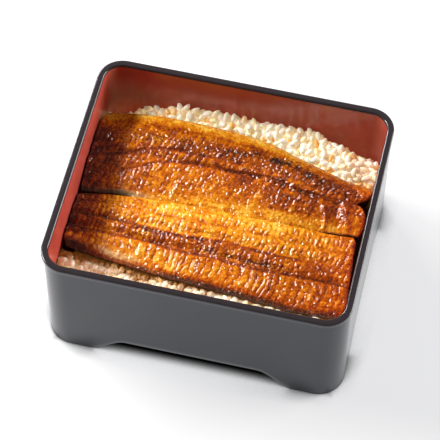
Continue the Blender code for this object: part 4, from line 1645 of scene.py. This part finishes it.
def back_fillet() -> EelFillet:
    """Describe the fillet at the back.

    Returns:
        The fillet.
    """
    belly_fat = SmoothLine(((-72, -2.5), (-56, 0.6), (-36, 2.0), (-11, 4.0), (4, 4.5), (24, 5.0),
                            (39, 5.0), (72, 5.5)))
    low_furrow = SmoothLine(((-72, 9.0), (-57, 11.0), (-45, 15.5), (-36, 21.0), (-19, 24.0), (3, 24.0),
                             (20, 24.0), (36, 20.5), (51, 19.0), (72, 18.5)))
    high_furrow = SmoothLine(((-72, 17.0), (-57, 21.0), (-48, 25.0), (-38, 29.0), (-28, 30.0),
                              (-20, 29.2), (0, 29.5), (20, 29.5), (40, 24.0), (72, 22.0)))
    scorched = SmoothLine(((-72, 32.5), (-60, 33.0), (-45, 33.5), (-19, 34.5), (1, 35.0), (20, 35.5),
                           (34, 32.5), (45, 27.5), (60, 24.0), (72, 23.0)))
    roll = SmoothLine(((-70, 39.0), (-57, 43.0), (-42, 44.0), (-26, 44.0), (-10, 43.0), (2, 42.0),
                       (16, 40.5), (31, 35.0), (44, 31.5), (60, 28.0), (72, 26.5)))
    ends = dict(
        left_end=share_line((0, -71.4), (0.08, -71.9), (0.90, -71.9), (1, -70.8)),
        right_end=share_line((0, 69.3), (0.12, 70.8), (0.32, 70.6), (0.47, 69.0), (0.60, 65.6),
                             (0.74, 70.0), (0.90, 71.5), (1, 69.8)))
    section = share_line((0, 45.6), (0.04, 46.4), (0.10, 47.2), (0.25, 48.9), (0.41, 49.8), (0.48, 48.8),
                         (0.54, 49.9), (0.60, 49.3), (0.70, 50.0), (0.85, 49.0), (0.94, 48.0), (1, 46.4))
    rows = [
        muscle_row(belly_fat, 1.0, low_furrow, -5.0, 0.12, 2.8, 0.25, 11),
        muscle_row(low_furrow, -6.5, low_furrow, -0.3, 0.28, 2.8, 0.3, 15),
        muscle_row(low_furrow, 0.4, high_furrow, -0.3, 0.42, 3.0, 0.35, 12),
        muscle_row(high_furrow, 0.4, scorched, 0.5, 0.40, 2.9, 0.3, 13),
        muscle_row(scorched, 0.2, roll, -0.5, 0.34, 2.4, 0.2, 14),
    ]
    furrows = [
        Furrow(low_furrow, 0.5 * MM, 0.8 * MM, first=-56 * MM, tone=0.13),
        Furrow(high_furrow, 0.45 * MM, 0.75 * MM, last=-6 * MM, tone=0.13),
        Furrow(shifted(roll, -1.0), 0.3 * MM, 1.0 * MM, first=-60 * MM, tone=0.08),
    ]
    tones = [
        (SEAM, painted_shade_left((-56, 0.52), (-50, 0.45), (-35, 0.27), (72, 0.28))),
        (belly_fat, painted_shade_left((-56, 0.5), (-45, 0.37), (-20, 0.24), (45, 0.24), (60, 0.34))),
        (shifted(belly_fat, 3.5), painted_shade_left((-56, 0.55), (-30, 0.42), (10, 0.44), (30, 0.55), (72, 0.5))),
        (shifted(low_furrow, -2.5), painted_shade_left((-56, 0.55), (-30, 0.47), (20, 0.62), (72, 0.64))),
        (low_furrow, painted_shade_left((-56, 0.58), (72, 0.6))),
        (shifted(low_furrow, 2.0), painted_shade_left((-56, 0.56), (72, 0.6))),
        (high_furrow, painted_shade_left((-56, 0.6), (-30, 0.58), (72, 0.62))),
        (scorched, painted_shade_left((-56, 0.53), (-30, 0.52), (0, 0.6), (45, 0.67), (72, 0.6))),
        (shifted(roll, -2.0), tone_line((-72, 0.5), (20, 0.5), (45, 0.62), (72, 0.6))),
        (shifted(roll, 1.5), tone_line((-72, 0.31), (20, 0.31), (40, 0.45), (56, 0.52), (72, 0.4))),
        (shifted(roll, 4.5), tone_line((-72, 0.2), (20, 0.2), (40, 0.36), (56, 0.42), (72, 0.3))),
        (BACK_EDGE, tone_line((-72, 0.35), (20, 0.35), (72, 0.5))),
    ]
    scorches = [
        Scorch(scorched, 5.0 * MM, tone_line((-72, 0.25), (-55, 0.42), (-45, 0.45), (-20, 0.4),
                                             (10, 0.45), (30, 0.55), (44, 0.62), (56, 0.3), (72, 0.2))),
        Scorch(shifted(low_furrow, -1.5), 2.6 * MM, tone_line((-72, 0.0), (-20, 0.1), (5, 0.35), (30, 0.42),
                                                              (50, 0.35), (60, 0.1))),
    ]
    folds = [Fold(*described) for described in (
        ((-21.5, 16.0), (-27.0, 1.5), 0.45, 0.9),
        ((49.0, 15.0), (51.0, 9.0), 1.1, 1.3),
        ((51.0, 9.0), (51.6, 3.0), 1.0, 1.2),
        ((59.5, 16.0), (61.5, 10.0), 1.6, 2.0),
        ((61.5, 10.0), (63.5, 3.0), 1.3, 1.8),
        ((55.5, 17.0), (57.5, 5.0), -0.9, 2.2),
        ((60.0, 20.5), (70.0, 19.5), -1.3, 1.8),
    )]
    skins = [
        # the seam's skin strip, darkened towards the left end as painted shade
        SkinPatch(shifted(SEAM, 1.0), 1.5 * MM, tone_line((-72, 1.0), (-50, 0.95), (-40, 0.4), (-33, 0.0)),
                  tone_line((-72, 0.82), (-60, 0.66), (-50, 0.5), (-40, 0.3))),
    ]
    meeting = tone_line((-72, 1.0), (-50, 1.0), (-38, 0.08), (38, 0.08), (50, 0.4), (60, 0.9), (72, 1.0))
    front = SmoothLine(((-72, -3.3), (-53, -0.4), (-40, -0.6), (-15, 0.0), (25, 0.0), (42, 0.5),
                        (54, 1.4), (72, 3.0)))
    return EelFillet("grilled_fillet_back", "eel_fillet_back", front, BACK_EDGE, section=section,
                     rows=rows, furrows=furrows, scorches=scorches, tones=tones, folds=folds,
                     skins=skins, front_roundness=meeting, seed=5, **ends)


def front_fillet() -> EelFillet:
    """Describe the fillet at the front.

    Returns:
        The fillet.
    """
    main_furrow = SmoothLine(((-72, -25.0), (-50, -25.0), (-29, -25.0), (-15, -27.0), (0, -27.0),
                              (15, -28.2), (28, -28.8), (44, -27.6), (53, -27.5), (72, -28.5)))
    high_furrow = SmoothLine(((-72, -17.0), (-53, -16.0), (-38, -17.0), (-24, -18.8), (-11, -18.8),
                              (9, -17.2), (19, -18.0), (34, -19.0), (72, -19.0)))
    faint_furrow = SmoothLine(((-72, -9.0), (-55, -8.0), (-20, -9.2), (20, -8.6), (50, -9.4), (72, -9.0)))
    ends = dict(
        left_end=share_line((0, -70.6), (0.10, -71.9), (0.94, -71.9), (1, -71.4)),
        right_end=share_line((0, 69.9), (0.12, 71.2), (0.45, 70.2), (0.94, 68.6), (1, 67.8)))
    section = share_line((0, 44.0), (0.06, 45.6), (0.20, 47.1), (0.33, 47.9), (0.39, 46.6), (0.46, 47.9),
                         (0.55, 48.1), (0.60, 47.3), (0.68, 48.0), (0.85, 47.2), (0.95, 46.4), (1, 45.6))
    rows = [
        muscle_row(FRONT_EDGE, 2.2, main_furrow, -0.4, 0.40, 3.6, 0.2, 21, bow=0.4, tone_swing=0.18),
        muscle_row(main_furrow, 0.5, high_furrow, -0.4, 0.34, 2.6, 0.2, 22),
        muscle_row(high_furrow, 0.5, faint_furrow, -0.2, 0.34, 2.7, 0.15, 23, tone_swing=0.16),
        muscle_row(faint_furrow, 0.2, SEAM, -1.2, 0.34, 2.6, 0.12, 24, tone_swing=0.16),
    ]
    furrows = [
        Furrow(main_furrow, 0.6 * MM, 0.85 * MM, tone=0.14),
        Furrow(high_furrow, 0.42 * MM, 0.8 * MM, last=48 * MM, tone=0.12),
        Furrow(faint_furrow, 0.22 * MM, 0.8 * MM, tone=0.06),
    ]
    tones = [
        (FRONT_EDGE, tone_line((-72, 0.75), (72, 0.75))),
        (shifted(FRONT_EDGE, 2.0), tone_line((-72, 0.3), (-40, 0.35), (-15, 0.5), (72, 0.55))),
        (shifted(FRONT_EDGE, 5.0), tone_line((-72, 0.4), (-20, 0.34), (20, 0.42), (72, 0.5))),
        (shifted(main_furrow, -2.0), painted_shade_left((-56, 0.44), (20, 0.46), (72, 0.52))),
        (main_furrow, painted_shade_left((-56, 0.6), (72, 0.6))),
        (shifted(main_furrow, 2.0), painted_shade_left((-56, 0.48), (-10, 0.52), (20, 0.53), (72, 0.5))),
        (high_furrow, painted_shade_left((-56, 0.55), (0, 0.57), (72, 0.53))),
        (shifted(high_furrow, 2.0), painted_shade_left((-56, 0.4), (0, 0.38), (30, 0.41), (72, 0.5))),
        (faint_furrow, painted_shade_left((-56, 0.38), (0, 0.33), (40, 0.36), (72, 0.5))),
        (shifted(SEAM, -2.5), painted_shade_left((-56, 0.38), (0, 0.28), (40, 0.3), (72, 0.52))),
        (SEAM, painted_shade_left((-56, 0.4), (-40, 0.3), (45, 0.28), (72, 0.52))),
    ]
    scorches = [
        Scorch(shifted(main_furrow, 3.5), 3.2 * MM, tone_line((-72, 0.1), (-50, 0.3), (-15, 0.35), (10, 0.42),
                                                              (30, 0.5), (45, 0.2), (72, 0.05))),
        Scorch(shifted(high_furrow, -0.5), 1.6 * MM, tone_line((-72, 0.4), (-50, 0.45), (-25, 0.3), (25, 0.3),
                                                               (45, 0.1))),
        Scorch(shifted(FRONT_EDGE, 1.2), 1.5 * MM, tone_line((-72, 0.3), (-30, 0.3), (0, 0.5), (72, 0.4))),
    ]
    skins = [
        # pale silver belly skin: the skin's own colour, lightened as a painted reflection
        SkinPatch(shifted(FRONT_EDGE, 3.0), 1.7 * MM,
                  tone_line((-72, 0.0), (-61, 0.0), (-55, 0.35), (-48, 0.65), (-38, 0.5), (-30, 0.0)),
                  tone_line((-72, 0.3), (-50, 0.06), (-36, 0.1))),
        # dark skin at the front-left end: the skin's own colour, deepened there into painted shade where the
        # left wall's shadow falls
        SkinPatch(shifted(FRONT_EDGE, 1.6), 2.6 * MM,
                  tone_line((-72, 0.9), (-62, 0.8), (-54, 0.25), (-46, 0.0)),
                  tone_line((-72, 0.85), (72, 0.85))),
        SkinPatch(shifted(FRONT_EDGE, 0.4), 1.0 * MM, tone_line((-72, 0.7), (0, 0.9), (20, 0.6), (72, 0.5)),
                  tone_line((-72, 0.8), (-40, 0.74), (-20, 0.7), (0, 0.8), (72, 0.85))),
    ]
    meeting = tone_line((-72, 1.0), (-50, 0.8), (-38, 0.08), (36, 0.08), (48, 0.3), (58, 0.8), (72, 1.0))
    back = SmoothLine(((-72, -3.7), (-53, -0.8), (-40, 0.6), (-15, 1.9), (25, 1.9), (42, 1.6),
                       (54, 1.1), (72, 2.6)))
    return EelFillet("grilled_fillet_front", "eel_fillet_front", FRONT_EDGE, back,
                     section=section, rows=rows, furrows=furrows, scorches=scorches, tones=tones,
                     skins=skins, back_roundness=meeting, seed=6, **ends)


def main() -> None:
    """Build the studio, the box, the rice and the fillets in order, and report each piece."""
    logging.basicConfig(level=logging.INFO, format="%(name)s: %(message)s")
    Studio().build()
    box = LacquerBox(*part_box("lacquer_box"))
    made = box.build(BlackLacquer().make(), RedLacquer().make())
    made += RiceBed(box, FRONT_EDGE, BACK_EDGE, RICE_CREST).build(CookedRice().make())
    made.append(back_fillet().build(GlazedEel("charcoal_grilled_eel_back").make(), "glazed_eel_back"))
    made.append(front_fillet().build(GlazedEel("charcoal_grilled_eel_front").make(), "glazed_eel_front"))
    for piece in made:
        triangles = sum(len(face.vertices) - 2 for face in piece.data.polygons)
        LOG.info("%s: %d triangles", piece.name, triangles)


if __name__ == "__main__":
    main()
